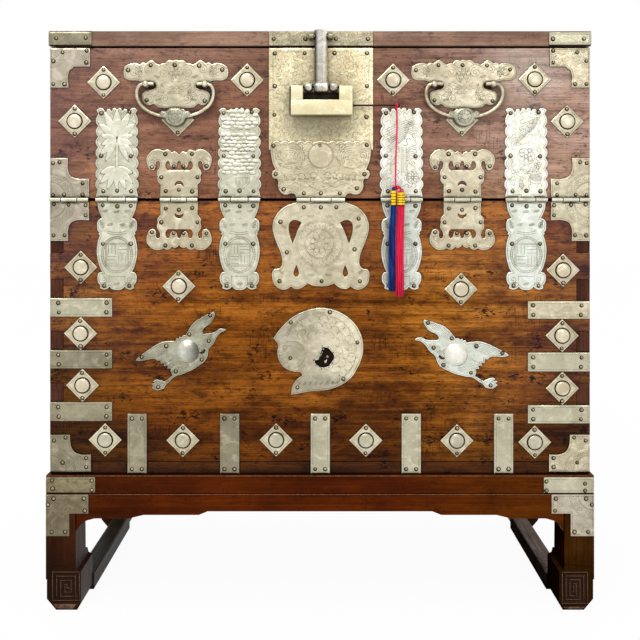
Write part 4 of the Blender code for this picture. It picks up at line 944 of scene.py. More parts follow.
def clip(lines, loops, margin=0.0010):
    """Parts of lines that lie on a plate, clear of its edges."""
    dense = []
    for line in lines:
        for (a, c), (b, d) in zip(line, line[1:]):
            count = max(1, int(math.dist((a, c), (b, d)) / STEP))
            dense += [(a + (b - a) * k / count, c + (d - c) * k / count) for k in range(count)]
        dense += [line[-1], None]
    points = np.array([(9.0, 9.0) if point is None else point for point in dense])
    good = within(points, loops[0]) & (edge_distance(points, loops) > margin)
    for hole in loops[1:]:
        good &= ~within(points, hole)
    kept, run = [], []
    for point, fine in zip(dense, good):
        if fine:
            run.append(point)
        elif run:
            if len(run) > 1:
                kept.append(run)
            run = []
    return kept


def relief(name, shapes, body, face, look, height=0.0004):
    """Low pillows over closed shapes."""
    mesh = bmesh.new()
    for number, shape in enumerate(shapes):
        x, z = np.array(shape).mean(axis=0)
        top = height + 0.00002 * (number % 9)
        rings = []
        for level, share in ((SET_IN, 1.0), (-0.4 * top, 0.90), (-top, 0.62)):
            rings.append([(x + (u - x) * share, face + level, z + (v - z) * share) for u, v in shape])
        skin(mesh, rings)
    return show(name, mesh, body, look, angle=70.0)


def engrave(name, loops, body, face, lines, x=0.0, z=0.0, inset=1.6, width=0.00046, swell=None, shapes=(),
            look="white_brass"):
    """Border line, drawn lines and low raised shapes on a plate, all clear of its edges."""
    marks = [border(loops[0], inset)] + drawn(lines, x, z)
    ribbons("engraving_" + name, clip(marks, loops), body, face, width=width, swell=swell)
    if shapes:
        relief("relief_" + name, drawn(shapes, x, z), body, face, look)


def hatch(u, v, wide, high, step=0.9, angle=0.0):
    """Short parallel strokes that fill an oval."""
    cosine, sine = math.cos(math.radians(angle)), math.sin(math.radians(angle))
    lines = []
    for k in range(int(2 * high / step)):
        across = -high + (k + 0.5) * step
        half = wide * math.sqrt(1 - (across / high) ** 2)
        lines.append([(u + along * cosine - across * sine, v + along * sine + across * cosine)
                      for along in (-half, half)])
    return lines


def polar(u, v, radius, turn):
    """Point at a distance from another, in a direction in radians."""
    return u + radius * math.cos(turn), v + radius * math.sin(turn)


def arc(u, v, radius, start=0.0, end=360.0, steps=16):
    return [polar(u, v, radius, math.radians(start + (end - start) * i / steps)) for i in range(steps + 1)]


def spiral(u, v, radius, turns, start=0.0, hand=1.0, steps=22):
    return [polar(u, v, radius * (1 - 0.85 * i / steps),
                  math.radians(start) + hand * turns * 2 * math.pi * i / steps) for i in range(steps + 1)]


def spoke(u, v, degrees, low, high):
    """Short line outwards from one distance to another."""
    return [polar(u, v, radius, math.radians(degrees)) for radius in (low, high)]


def leaf(u, v, length, width, angle):
    """Pointed leaf from its stalk: its right edge, its rib and its left edge."""
    cosine, sine = math.cos(math.radians(angle)), math.sin(math.radians(angle))
    edges = []
    for side in (-1, 0, 1):
        bulges = [(i / 8, side * width * math.sin(math.pi * (i / 8)) ** 0.8) for i in range(9)]
        edges.append([(u + cosine * length * t - sine * bulge, v + sine * length * t + cosine * bulge)
                      for t, bulge in bulges])
    return edges


def petals(u, v, inner, outer, count, start=0.0):
    width = (inner + outer) * 0.5 * math.sin(math.pi / count) * 0.95
    lines = []
    for i in range(count):
        angle = start + 360 * i / count
        lines += leaf(*polar(u, v, inner, math.radians(angle)), outer - inner, width, angle)[::2]
    return lines


def scales(low, high, bottom, top, radius):
    """Rows of small arcs, each row shifted by half an arc."""
    lines = []
    level, row = bottom, 0
    while level < top:
        u = low + radius * (1 + row % 2)
        while u + radius <= high + 0.1:
            lines += [arc(u, level, radius, 0, 180, 8), arc(u, level, radius * 0.5, 20, 160, 6)]
            u += 2 * radius
        level += radius * 0.95
        row += 1
    return lines


def worms(low, high, bottom, top, cell, seed):
    """Field of short curled strokes."""
    pick = random.Random(seed)
    lines = []
    rows, columns = int((top - bottom) / cell), int((high - low) / cell)
    for j in range(rows):
        for i in range(columns):
            u = low + (i + 0.5) * (high - low) / columns + pick.uniform(-0.8, 0.8)
            v = bottom + (j + 0.5) * (top - bottom) / rows + pick.uniform(-0.8, 0.8)
            start, sweep = pick.uniform(0, 360), pick.uniform(150, 290)
            first = arc(u, v, cell * 0.30, start, start + sweep, 8)
            last = first[-1]
            centre = polar(*last, cell * 0.24, math.radians(start + sweep))
            back = math.degrees(math.atan2(last[1] - centre[1], last[0] - centre[0]))
            lines.append(first + arc(*centre, cell * 0.24, back, back - pick.uniform(60, 170), 5)[1:])
    return lines


def border(loop, inset):
    """Line that follows an outline inside its edge."""
    return rejoined(grown(loop, -inset * PIXEL))


def bamboo():
    """Two sprays of long leaves on a stalk."""
    shapes = [rectangle(-1.2, 8.0, 1.2, 60.0)]
    lines = [[(side, 8.0), (side, 60.0)] for side in (-1.3, 1.3)]
    upper = [(90, 29, 4.4), (64, 30, 4.0), (116, 30, 4.0), (38, 24, 3.6), (142, 24, 3.6), (8, 17, 3.0),
             (172, 17, 3.0), (-24, 18, 3.0), (204, 18, 3.0), (-46, 25, 3.4), (226, 25, 3.4), (-64, 27, 3.0),
             (244, 27, 3.0)]
    lower = [(-90, 23, 2.8), (-68, 25, 3.2), (248, 25, 3.2), (-46, 24, 3.4), (226, 24, 3.4), (-22, 18, 3.2),
             (202, 18, 3.2)]
    for u, v, leaves in ((0.0, 61.8, upper), (-0.5, 33.0, lower)):
        for angle, length, width in leaves:
            right, rib, left = leaf(u, v, length, width, angle)
            shapes.append(right + left[-2:0:-1])
            lines += [right, rib, left]
            for edge in (right, left):
                lines.append([(a + (b - a) * 0.5, c + (d - c) * 0.5)
                              for (a, c), (b, d) in zip(rib[2:], edge[2:])])
    for sign in (-1.0, 1.0):
        u = sign * 13.0
        lines += [spiral(u, 84, 3.4, 1.3, 90, -sign), arc(u * 1.2, 22, 4.0, 40, 320, 10),
                  arc(u * 1.2, 14, 3.0, 40, 320, 10)]
        lines += hatch(u * 1.1, 27, 2.4, 2.0, 0.8, 60)
    return shapes, lines


def clouds():
    """Overlapping rows of flat lumps over a vase."""
    pick = random.Random(3)
    shapes, lines = [], []
    for row in range(17):
        for column in range(6):
            u = (column - 2.5) * 5.9 + (1.5 if row % 2 else -1.5) + pick.uniform(-1.0, 1.0)
            v = 88.0 - row * 3.8 + pick.uniform(-0.6, 0.6)
            if row == 5 or abs(u) > 16.5 or min(math.dist((u, v), spot) for spot in LEAF_NAILS) < 4.6:
                continue
            wide, high = pick.uniform(2.8, 4.0), pick.uniform(1.3, 2.1)
            shapes.append([(a + 0.25 * pick.uniform(-1, 1) * wide, b) for a, b in oval(u, v, wide, high, 9)])
            # Dark arc under each lump, and on some a few strokes below it: painted shade.
            lines.append([(u + wide * math.cos(a), v + 1.1 * high * math.sin(a))
                          for a in (math.radians(190 + 18 * i) for i in range(10))])
            if pick.random() < 0.55:
                lines += hatch(u + 0.6, v - high - 0.3, wide * 0.8, 0.8, 0.55)
    lines.append([(-16 + 0.8 * i, 69.6 + 0.6 * math.sin(i * 0.9)) for i in range(41)])
    lines.append([(-4, 22), (10, 22), (10, 17), (6, 12.5), (3, 10.5), (0, 12.5), (-4, 17), (-4, 22)])
    for u in (-2.6, -1.2, 0.2, 1.6, 3.0, 4.4, 5.8, 7.2, 8.4):
        lines.append([(u, 21.6), (u, 17.5 - 1.3 * (3.4 - abs(u - 3) * 0.5))])
    return shapes, lines


def plumes():
    """Slanting plumes over a trunk and a wheel-shaped flower."""
    lines = []
    for k in range(11):
        lines.append(curve([(-16, 44 + 2.6 * k), (-8 + 0.7 * k, 52 + 2.5 * k),
                            (4 + 0.9 * k, 62 + 2.0 * k)], 4))
    for k in range(6):
        lines.append(arc(4, 58, 9.0 + 1.7 * k, 20, 96, 10))
        lines.append(arc(-10, 20, 3.0 + 1.5 * k, 150 - 8 * k, 330 + 8 * k, 12))
        lines.append(curve([(15, 40 + 2.4 * k), (9, 42 + 2.2 * k), (5, 38 + 2.2 * k)], 4))
    lines += [[(0, 24), (0.4, 52)], [(5.4, 24), (5.0, 52)]]
    lines += [spiral(11, 37, 3.6, 1.5, 90), spiral(-11, 38, 4.0, 1.5, 0, -1.0)]
    lines += petals(11, 22, 1.4, 6.0, 8) + [arc(11, 22, 6.4), arc(11, 22, 1.2, steps=8)]
    lines += hatch(-9, 60, 5.0, 3.0, 0.8, 40) + hatch(9, 76, 5.0, 3.0, 0.8, 30)
    shapes = [oval(11, 22, 1.1, 1.1), rectangle(1.2, 26, 4.4, 51)]
    return shapes, lines


def flights():
    """Slanting wing over a flower and leaves."""
    lines = []
    for k in range(10):
        lines.append(curve([(-15 + 1.2 * k, 50 + 2.8 * k), (-5 + 1.4 * k, 60 + 2.3 * k),
                            (9 + 0.7 * k, 72 + 1.5 * k)], 4))
    for k in range(5):
        lines += [arc(-9, 62, 2.0 + 1.5 * k, 180, 300, 8), arc(10, 58, 2.0 + 1.5 * k, -30, 120, 8)]
        lines.append(arc(-12, 36, 1.6 + 1.4 * k, 100, 260, 8))
    lines += petals(0, 43, 2.0, 7.6, 6, 30) + [arc(0, 43, 1.8, steps=10), arc(0, 43, 8.6)]
    lines += petals(-11, 26, 1.0, 4.6, 5) + petals(11, 34, 1.0, 4.0, 5)
    lines += hatch(9.5, 22, 6.0, 4.0, 0.8, -10) + [arc(9.5, 22, 6.2)]
    for u, v, length, angle in ((-4, 10, 12, 100), (-12, 14, 9, 120), (2, 26, 10, 150), (2, 28, 10, 30)):
        lines += leaf(u, v, length, 2.0, angle)
    return [oval(0, 43, 1.7, 1.7)], lines


def medallion():
    """Plain woven lattice in a hatched ring, with small curls and dents above and below."""
    middle = -55.0

    def ring_point(degrees, wide, high):
        return wide * math.cos(math.radians(degrees)), middle + high * math.sin(math.radians(degrees))

    lines = [[ring_point(9 * i, *size) for i in range(41)] for size in ((15.8, 18.2), (13.6, 16.2))]
    lines += [[ring_point(6 * i, *size) for size in ((14.0, 16.6), (15.4, 17.8))] for i in range(60)]
    lines += [rejoined(rectangle(-size, middle - size, size, middle + size)) for size in (11.4, 10.2)]
    for i in (-1, 1):
        for j in (-1, 1):
            u, v = i * 5.1, middle + j * 5.1
            for k in (-3.4, 0.0, 3.4):
                lines.append([(u - 4.4, v + k), (u + 4.4, v + k)] if i == j else
                             [(u + k, v - 4.4), (u + k, v + 4.4)])
    for u, v in ((-12, -11.3), (-0.5, -12), (10.5, -11.3), (-7, -24.8), (5.5, -24.8), (-12.5, -83.5),
                 (0, -84), (11, -83.5)):
        lines += hatch(u, v, 3.0, 1.6, 0.7, 10)
    for sign in (-1.0, 1.0):
        lines += hatch(sign * 15, -24.5, 4.4, 1.5, 0.6, 90 - sign * 20)
        lines += [spiral(sign * 15.0, -26, 3.4, 1.3, 90, sign), [(sign * 7.8, -75.5), (sign * 8.2, -86)],
                  spiral(sign * 13.0, -80, 3.2, 1.3, -90, -sign)]
    for half, end, bottom in ((9, -31.6, -33), (10, -33.4, -35)):
        lines.append(curve([(-half, end), (0, bottom), (half, end)], 4))
    lines.append([(-7.4, -76.6), (7.4, -76.6)])
    return [], lines


def make_long_hinges():
    """Four scalloped hinges: a different drawing on each upper leaf, a medallion on each lower one."""
    lower_nails = [(-14, 403), (0.5, 402), (14, 402.5), (-14, 364.5), (14, 364.5), (-12.5, 322.6),
                   (12.5, 322.6)]
    for number, (x, drawing) in enumerate(zip(LONG_HINGES, (bamboo, clouds, plumes, flights)), start=1):
        name = "long_hinge_%d" % number
        for body, pattern, width, deepen, look in (("flap", drawing, 0.00046, 1.1, "bright_brass"),
                                                   ("carcass", medallion, 0.0006, 0.0, "pale_brass")):
            node = name + LEAVES[body]
            loops = front_loops(node, dip=17.0, deepen=deepen)
            shapes, lines = pattern()
            plate("sheet_" + node, loops, body, "dull_brass" if number < 3 else look, node)
            if body == "flap" and number > 2:
                lines += worms(-17, 17, 10, 88, 7.0, number)
            # Raised shapes take a paler look than the sheet: painted highlight on the relief.
            engrave(node, loops, body, FACE, lines, x, HINGE, width=width, shapes=shapes, look="leaf_brass")
        barrel(name, x, 21.2)
        nail("flap", FACE, LEAF_NAILS, x, HINGE)
        nail("carcass", FACE, lower_nails, x)


def make_fret_hinges():
    """Two pierced hinges, each with the same leaf above and below its line."""
    nails = [(-13.5, 454.2), (13.0, 454.2), (-27, 441), (-5.2, 442), (4.6, 442), (27.5, 442.2), (-17.5, 431),
             (18.5, 431), (-13.2, 417.2), (0, 418.5), (13.3, 416.7)]
    for number, x in enumerate(FRET_HINGES, start=1):
        name = "fret_hinge_%d" % number
        for body, sign in (("flap", 1.0), ("carcass", -1.0)):
            node = name + LEAVES[body]
            loops = front_loops(node)
            plate("sheet_" + node, loops, body, "white_brass", node, spacing=0.0026)
            marks = [spiral(s * 26, sign * 38, 4.6, 1.5, 90, s) for s in (-1, 1)]
            marks += [spiral(s * 13, sign * 9, 3.6, 1.5, 90, -s) for s in (-1, 1)]
            engrave(node, loops, body, FACE, marks, x, HINGE, 1.4, 0.00036)
            # Dark arcs along the curls: painted shade at their edges.
            curls = [arc(s * 5.0, sign * 33.2, 3.7, -sign * 100, sign * 130, 14) for s in (-1, 1)]
            curls += [arc(s * 27.4, sign * 33.0, 4.0, 90 + s * 20 * sign, 90 + s * 230 * sign, 14)
                      for s in (-1, 1)]
            ribbons("curl_shade_" + node, clip(drawn(curls, x, HINGE), loops, 0.0004), body, FACE, "stain_and_shade", 0.0007)
        barrel(name, x, 19.0)
        nail("flap", FACE, nails, x)
        nail("carcass", FACE, [(u, 2 * HINGE - v) for u, v in nails], x)


def make_centre_hinge():
    """Wide hinge below the lock: clouds and waves over its upper leaf, a flower in rings on the lower one."""
    loops = front_loops("centre_hinge_upper_leaf", dip=22.0)
    plate("sheet_centre_upper", loops, "flap", "wave_brass", "centre_hinge_upper_leaf", CENTRE_FACE)
    marks = [arc(0, 44, radius, steps=30) for radius in (12.8, 11.8)]
    for sign in (-1, 1):
        for k in range(6):
            marks += [arc(sign * 30, 42, 3.0 + 2.2 * k, 90 - sign * 10, 90 + sign * 130, 12),
                      arc(sign * (7 + 6.0 * k), 24 - 0.6 * k, 3.4, 0, 180, 8)]
            marks += hatch(sign * (8 + 6.4 * k), 21.5 - 0.4 * k, 2.6, 1.4, 0.6)
        marks += [spiral(sign * 22, 52, 4.6, 1.6, -60, -sign), spiral(sign * 42, 44, 4.2, 1.6, -60, sign)]
        for run in (((4, 18), (14, 12), (26, 17), (34, 12)), ((15, 44), (20, 34), (32, 31), (44, 36))):
            marks.append(curve([(sign * u, v) for u, v in run], 5))
    marks.append(curve([(-18, 20), (-8, 12), (0, 9), (8, 12), (18, 20)], 5))
    engrave("centre_upper", loops, "flap", CENTRE_FACE, marks, CENTRE_HINGE, HINGE, 1.7,
            shapes=[oval(0, 44, 12.6, 12.6, 32)], look="boss_brass")
    # Dark line along the plate's scalloped top: painted shadow and dirt.
    rim = sorted(point for point in loops[0] if point[1] > (HINGE + 50) * PIXEL)
    ribbons("shadow_and_dirt_centre_upper", [rim], "flap", FACE, "stain_and_shade", 0.0012, 0.00016)
    nail("flap", CENTRE_FACE, seen(
        (273.7, 145.6), (320, 145.7), (366.8, 144.7), (276, 174), (364.5, 174), (284, 189), (357, 188),
        (304, 193), (321, 193), (340, 193)))

    loops = front_loops("centre_hinge_lower_leaf")
    u, v = -1.5, -44.0
    swell = dome(CENTRE_HINGE + u, HINGE + v, 25.0, 0.0011)
    plate("sheet_centre_lower", loops, "carcass", "white_brass", "centre_hinge_lower_leaf", swell=swell)
    marks = [arc(u, v, radius, steps=40) for radius in (23.6, 22.2, 14.6, 13.8, 2.4)]
    marks += petals(u, v, 3.0, 13.0, 8, 22.5) + petals(u, v, 5.0, 9.5, 8, 22.5)
    for i in range(60):
        marks.append(spoke(u, v, 6 * i, 14.9, 16.6))
        marks.append(spoke(u, v, 6 * i, 17.6, 19.4) if i % 2 else spoke(u, v, 6 * i, 20.2, 21.8))
    for sign in (-1, 1):
        marks += hatch(sign * 9 - 1, -16.5, 3.8, 1.7, 0.7) + hatch(sign * 9 - 1, -75, 3.6, 1.7, 0.7)
        marks += hatch(sign * 37, -27, 3.4, 1.4, 0.7, sign * 30)
        marks += hatch(sign * 40, -72, 3.0, 1.4, 0.7, sign * 40)
    engrave("centre_lower", loops, "carcass", FACE, marks, CENTRE_HINGE, HINGE, 1.5, swell=swell)
    barrel("centre_hinge", CENTRE_HINGE, 24.4)
    nail("carcass", FACE, seen(
        (304, 207), (321, 207), (336.5, 207), (280.7, 221.6), (358.8, 218.3), (287, 252), (354.7, 249),
        (279.7, 280.8), (321.8, 280.8), (360, 280.8)))


def make_lock_plates():
    """Plate behind the padlock, and the marks on the plate above it."""
    loops = front_loops("lock_plate")
    plate("sheet_lock_plate", loops, "flap", "lock_brass", "lock_plate")
    engrave("lock_plate", loops, "flap", FACE, worms(-47, 47, 461, 555, 8.0, 11), LOCK_X, 0.0, 4.0, 0.00036)
    nail("flap", FACE, seen(
        (275, 53.3), (305, 53), (334.6, 53), (367, 53), (275, 86), (367, 86), (274.5, 114.6), (366.5, 116.7)))
    marks = worms(-51, -13, 563, 576, 5.0, 12) + worms(13, 51, 563, 576, 5.0, 13)
    ribbons("engraving_top_plate", drawn(marks, LOCK_X), "carcass", TOP_FACE, width=0.00036)
    nail("carcass", TOP_FACE, seen(
        (274, 39), (305.6, 39), (336, 39), (368, 39), (57, 38.5), (86.5, 38), (552.5, 39), (583.5, 39)))


def make_corners():
    """Corner mounts and corner hinges, with rings of curls about the corner."""
    # Body, level, radius and start of the quarter circle that the plate fills, then the left plate's nails
    kinds = {
        "flap_corner": ("flap", 560.0, 19.5, -90.0, (87, 50.5), (63, 52.3), (53.8, 61), (86.7, 62.3),
                        (53.8, 83.8), (65, 84)),
        "corner_hinge_upper": ("flap", 411.0, 24.0, 0.0, (60, 162), (53.5, 163), (83, 183), (83, 194.5),
                               (64.5, 194.5), (53.5, 195)),
        "corner_hinge_lower": ("carcass", 405.5, 24.0, -90.0, (54.5, 204), (69, 204.5), (86, 205), (86, 215),
                               (54, 235), (65, 235)),
        "base_corner": ("carcass", 137.0, 25.0, 0.0, (66, 437), (54.5, 440), (86.5, 457.5), (86.5, 466.5),
                        (63, 462)),
        "leg_corner": ("carcass", 114.5, 24.0, -90.0, (55, 497), (85, 497), (49, 503), (86, 509), (53, 530),
                       (66.5, 530)),
    }
    for side, sign in (("left", -1.0), ("right", 1.0)):
        for kind, (body, level, radius, start, *nails) in kinds.items():
            node = kind + "_" + side
            if "hinge" in kind:
                node = "corner_hinge_" + side + LEAVES[body]
            face, end = (STAND_FACE, STAND_END) if kind == "leg_corner" else (FACE, 270.0)
            look = "white_brass" if side == "right" and kind != "leg_corner" else "corner_brass"
            if side == "left" and kind in ("base_corner", "leg_corner"):
                look = kind[:kind.index("_")] + "_brass"
            loops = front_loops(node, 3)
            plate("sheet_" + node, loops, body, look, node, face)
            centre = 1.0 - end
            turn = 1.0 if start == 0.0 else -1.0
            marks = [arc(centre, level, radius - k, start, start + 90, 14) for k in (0.0, 1.4, 8.5, 9.4)]
            for k in range(5):
                u, v = polar(centre, level, radius - 5.0, math.radians(start + 11 + 17 * k))
                marks += [spiral(u, v, 2.9, 1.4, 40 * k, turn),
                          arc(centre, level, 2.0 + 1.6 * k, start, start + 90, 8)]
            marks += [spiral(34 - end, level + turn * 9, 3.6, 1.4, 90, turn),
                      spiral(10 - end, level + turn * 34, 3.6, 1.4, 0, turn)]
            marks = [[(-sign * u, v) for u, v in line] for line in marks]
            engrave(node, loops, body, face, marks, width=0.00036)
            nail(body, face, [(-sign * u, v) for u, v in seen(*nails)])
        barrel("corner_hinge_" + side, sign * (270.0 - 19.7), 19.5)


def small_plate(name, outline, within_edge, body, look="white_brass", face=FACE):
    """Straight-sided plate with a fine line inside its edge, both given by their corners in drawing units."""
    shares = (0.0, 0.25, 0.5, 0.75)
    loop = [(a + (b - a) * t, c + (d - c) * t) for (a, c), (b, d) in sides(scaled(outline)) for t in shares]
    plate(name, [loop], body, look, face=face)
    ribbons("engraving_" + name, sides(scaled(within_edge)), body, face, width=0.0003)


def strap(name, low_u, low_v, high_u, high_v, look="strap_brass", face=FACE, nails=()):
    """Nailed strip on the chest or its stand."""
    small_plate(name, rectangle(low_u, low_v, high_u, high_v),
                rectangle(low_u + 2, low_v + 2, high_u - 2, high_v - 2), "carcass", look, face)
    nail("carcass", face, nails)


def make_diamonds():
    """Diamonds with bosses, and the cut ones below the handles."""
    pick = random.Random(5)
    bosses = {"flap": bmesh.new(), "carcass": bmesh.new(), "low": bmesh.new()}
    shadow_rings = {"flap": bmesh.new(), "carcass": bmesh.new()}
    whole = [(0, -16.5), (16.5, 0), (0, 16.5), (-16.5, 0)]
    cut = [(0, -16.5), (16.5, 0), (5.5, 11), (-5.5, 11), (-16.5, 0)]
    groups = (("flap", FLAP_DIAMONDS, "boss", whole), ("flap", STRIKE_DIAMONDS, "strike", cut),
              ("carcass", PANEL_DIAMONDS, "boss", whole))
    radius = 7.2 * PIXEL
    steps = ((-0.0004, 0.9), (0.0003, 1.0), (0.0014, 0.985), (0.0024, 0.92), (0.0031, 0.80), (0.0036, 0.60),
             (0.0039, 0.36), (0.0040, 0.12))
    profile = [(FACE - rise, radius * share) for rise, share in steps]
    # Dark ring a little wider than each boss, at its foot: a painted shadow.
    rim = [(FACE + 0.0004, radius * 1.16), (FACE - 0.0003, radius * 1.12)]
    for body, diamonds, kind, points in groups:
        for number, (x, z) in enumerate(diamonds, start=1):
            small_plate("%s_diamond_%s_%d" % (body, kind, number), [(x + u, z + v) for u, v in points],
                        [(x + u * 0.86, z + v * 0.86) for u, v in points], body)
            nail(body, FACE, [(x + pick.uniform(-0.4, 0.4), z - 12.6)])
            if kind == "boss":
                nail(body, FACE, [(x + pick.uniform(-0.4, 0.4), z + 12.6)])
                knob(shadow_rings[body], rim, x, z, 28)
                knob(bosses["low" if z < 200 else body], profile, x, z, 28)
    for row, mesh in bosses.items():
        show("bosses_" + row, mesh, "flap" if row == "flap" else "carcass",
             "strap_brass" if row == "low" else "boss_brass", angle=60)
    for body, mesh in shadow_rings.items():
        show("boss_rims_" + body, mesh, body, "grime_and_shade")


def make_straps():
    """Straps over the joints: on the sides, along the bottom, and on the ends of the top and of the stand."""
    looks = ("strap_brass", "base_brass", "base_brass", "white_brass", "strap_brass", "strap_brass")
    for number, ((a, b, c, d), look) in enumerate(zip(SIDE_STRAPS, looks), start=1):
        middle, out = (b + d) / 2, 1.0 if a < 0 else -1.0
        outer, inner = (a, c) if a < 0 else (c, a)
        strap("side_strap_%d" % number, a, b, c, d, look, nails=[
            (outer + out * 8.5, middle + 4.6), (outer + out * 9.0, middle - 4.8),
            (inner - out * 5.2, middle + 4.8), (inner - out * 5.4, middle - 4.6)])
    for number, x in enumerate(BASE_STRAPS, start=1):
        look = "base_brass" if number < 3 else "strap_brass"
        strap("base_strap_%d" % number, x - 9.5, 134.8, x + 9.5, 194.5, look,
              nails=[(x - 5, 190), (x + 5, 190), (x - 5, 139.5), (x + 5, 139.5)])
    strap("top_strap_left", -270.8, 563.2, -228.0, 576.0, "base_brass", TOP_FACE)
    strap("top_strap_right", 228.8, 563.2, 270.8, 575.6, face=TOP_FACE)
    strap("stand_strap_left", -272.8, 117.0, -224.0, 132.2, "pin_brass", STAND_FACE,
          seen((53.5, 479), (93, 479), (54, 487), (93, 488.5)))
    strap("stand_strap_right", 223.0, 116.6, 272.8, 132.0, face=STAND_FACE,
          nails=seen((545.5, 480), (584, 482), (545.5, 489), (584, 489)))


def make_birds():
    """Two flying birds with domed bodies."""
    bean = [(11.2, -1.2), (13.4, -0.4), (15.2, 1.2), (16.4, 2.6), (17.6, 2.4), (17.6, 0.2), (16.4, -2.0),
            (13.8, -2.8), (11.6, -2.4)]
    bowl = curve([(-0.4, 11.6), (0.3, 10.9), (1.6, 9.8), (3.4, 8.2), (5.0, 6.2), (6.1, 3.8), (6.6, 1.2),
                  (6.65, 0.2)], 3)
    profile = [(FACE - rise * 0.001, reach * PIXEL) for rise, reach in bowl]
    marks = hatch(-34, 0, 18, 6.5, 1.5, 24) + hatch(10, 28, 17, 6.5, 1.5, 50)
    marks += hatch(-11, -16, 12, 6.0, 1.5, 14) + hatch(20, 10, 7, 4, 1.1, 42)
    marks += scales(9, 21, -12, 6, 2.2) + [arc(33, 20.8, 0.7, steps=8)]
    marks += [curve([(-20, -29), (-25, -32), (-31, -33)], 4),
              curve([(-20, -31), (-25, -34.5), (-31, -36)], 4)]
    marks += [[(-14 - 2.4 * k, -6 - 2.0 * k), (-18 - 3.0 * k, -10 - 1.6 * k)] for k in range(7)]
    # The right bird takes paler looks than the left: painted light, brighter on the right.
    looks = {"left": ("bird_brass", "dome_brass"), "right": ("pale_brass", "bright_brass")}
    for side, at in BIRDS.items():
        node = "bird_plate_" + side
        x, z = at[:2]
        loops = front_loops(node, holes=False)
        plate("sheet_" + node, loops, "carcass", looks[side][0], node, spacing=0.0026)
        lines = [border(loops[0], 1.2)] + drawn(marks, *at)
        ribbons("engraving_" + node, clip(lines, loops), "carcass", FACE, width=0.00052)
        # Dark flat shape for the hole: painted shade.
        relief("hole_" + node, [scaled(bean, *at)], "carcass", FACE, "grime_and_shade", 0.0001)
        mesh = bmesh.new()
        knob(mesh, profile, x, z, 36)
        show("dome_" + node, mesh, "carcass", looks[side][1], angle=180)
        rim = scaled(arc(0.3, -0.3, 10.8, 180, 400, 34), x, z)
        ribbons("rim_" + node, [rim], "carcass", FACE, "cut_line", 0.0007, 0.0003)
    left = seen((210.5, 315), (189.5, 334), (209, 340.5), (166.5, 345.5), (142, 356.5), (202, 359),
                (176, 371), (158.5, 386.5))
    nail("carcass", FACE, left)
    x, z = BIRDS["left"][:2]
    right = scaled([(u - x, v - z) for u, v in left], *BIRDS["right"])
    nail("carcass", FACE, [(u / PIXEL, v / PIXEL) for u, v in right])


def make_tortoise():
    """Shell plate with rows of scales, swollen about its torn hole."""
    x, z = TORTOISE_AT
    loops = front_loops("tortoise_plate")
    middle = ((x + 2.0) * PIXEL, (z - 6.0) * PIXEL)

    def dish(u, v):
        return 0.0034 * math.exp(-(math.dist((u, v), middle) / (30 * PIXEL))**2 * 4.0)

    plate("sheet_tortoise", loops, "carcass", "shell_brass", "tortoise_plate", swell=dish, spacing=0.0024)
    pick = random.Random(17)
    marks = []
    for ring, (reach, count) in enumerate(((16.5, 7), (23.5, 10), (30.5, 13))):
        for k in range(count):
            turn = -62 + 212 * (k + 0.5 * (ring % 2)) / count
            u, v = polar(-0.5, 0, reach, math.radians(turn))
            size = pick.uniform(4.4, 5.6)
            bow = []
            for a in (math.radians(turn - 100 + 40 * i) for i in range(6)):
                wide, high = size * pick.uniform(0.86, 1.14), size * pick.uniform(0.86, 1.14)
                bow.append((u + wide * math.cos(a), v + high * math.sin(a)))
            marks.append(curve(bow, 4))
    marks += [arc(0, 0, r, 84, 158, 26) for r in (38.0, 36.4)] + [arc(0, 0, 35.4, -72, 80, 40)]
    marks += [arc(-29.5, -4.3, 13.6, -80, 112, 24), arc(-29.5, -4.3, 9.0, 20, 150, 12),
              arc(-36, 3, 2.2, steps=12)]
    for k in range(9):
        marks += hatch(-22 + 5.6 * k, -33.5 + 0.25 * k, 2.4, 0.9, 0.8, 50)
    marks += [spoke(0, 0, 86 + 4.4 * k, 36.6, 37.8) for k in range(16)]
    engrave("tortoise", loops, "carcass", FACE, marks, x, z, 1.4, swell=dish)
    nail("carcass", FACE, seen(
        (291, 322), (330, 311.7), (357.5, 342), (343.5, 378.5), (297.5, 387), (290.6, 357.6)))
    nail("carcass", FRONT, seen((321.5, 352), (327.5, 356.5)))

    torn = np.array(loops[1])
    centre = torn.mean(axis=0)
    lip = [tuple(centre + (p - centre) * (1.03 + 0.10 * pick.random())) for p in torn]
    ribbons("torn_lip", [rejoined(lip)], "carcass", FACE, "bright_brass", 0.0009, 0.0007, dish)
    spikes = [[tuple(centre + (p - centre) * share) for share in (1.03, 1.16 + 0.12 * pick.random())]
              for p in torn[::4]]
    ribbons("torn_cracks", spikes, "carcass", FACE, "stain_and_shade", 0.0005, 0.0008, dish)
    shards = [[(-5.0, -2.5), (-2.0, 1.5), (-1.0, -1.0), (-3.0, -4.0)],
              [(1.0, -8.0), (4.2, -6.0), (3.6, -9.5), (2.0, -10.2)], [(-1.6, 3.2), (0.6, 6.0), (1.4, 3.6)]]
    relief("torn_shards", drawn(shards, x + 2.0, z - 3.0), "carcass", FRONT - 0.0004, "dull_brass", 0.0005)
    # Dark band round the torn hole's edge: painted shade.
    hollow = bmesh.new()
    outline = grown(loops[1], 0.0012)
    skin(hollow, [[(u, y, v) for u, v in outline] for y in (FRONT + 0.0005, FRONT - 0.0003)])
    show("tear_shade", hollow, "carcass", "grime_and_shade")


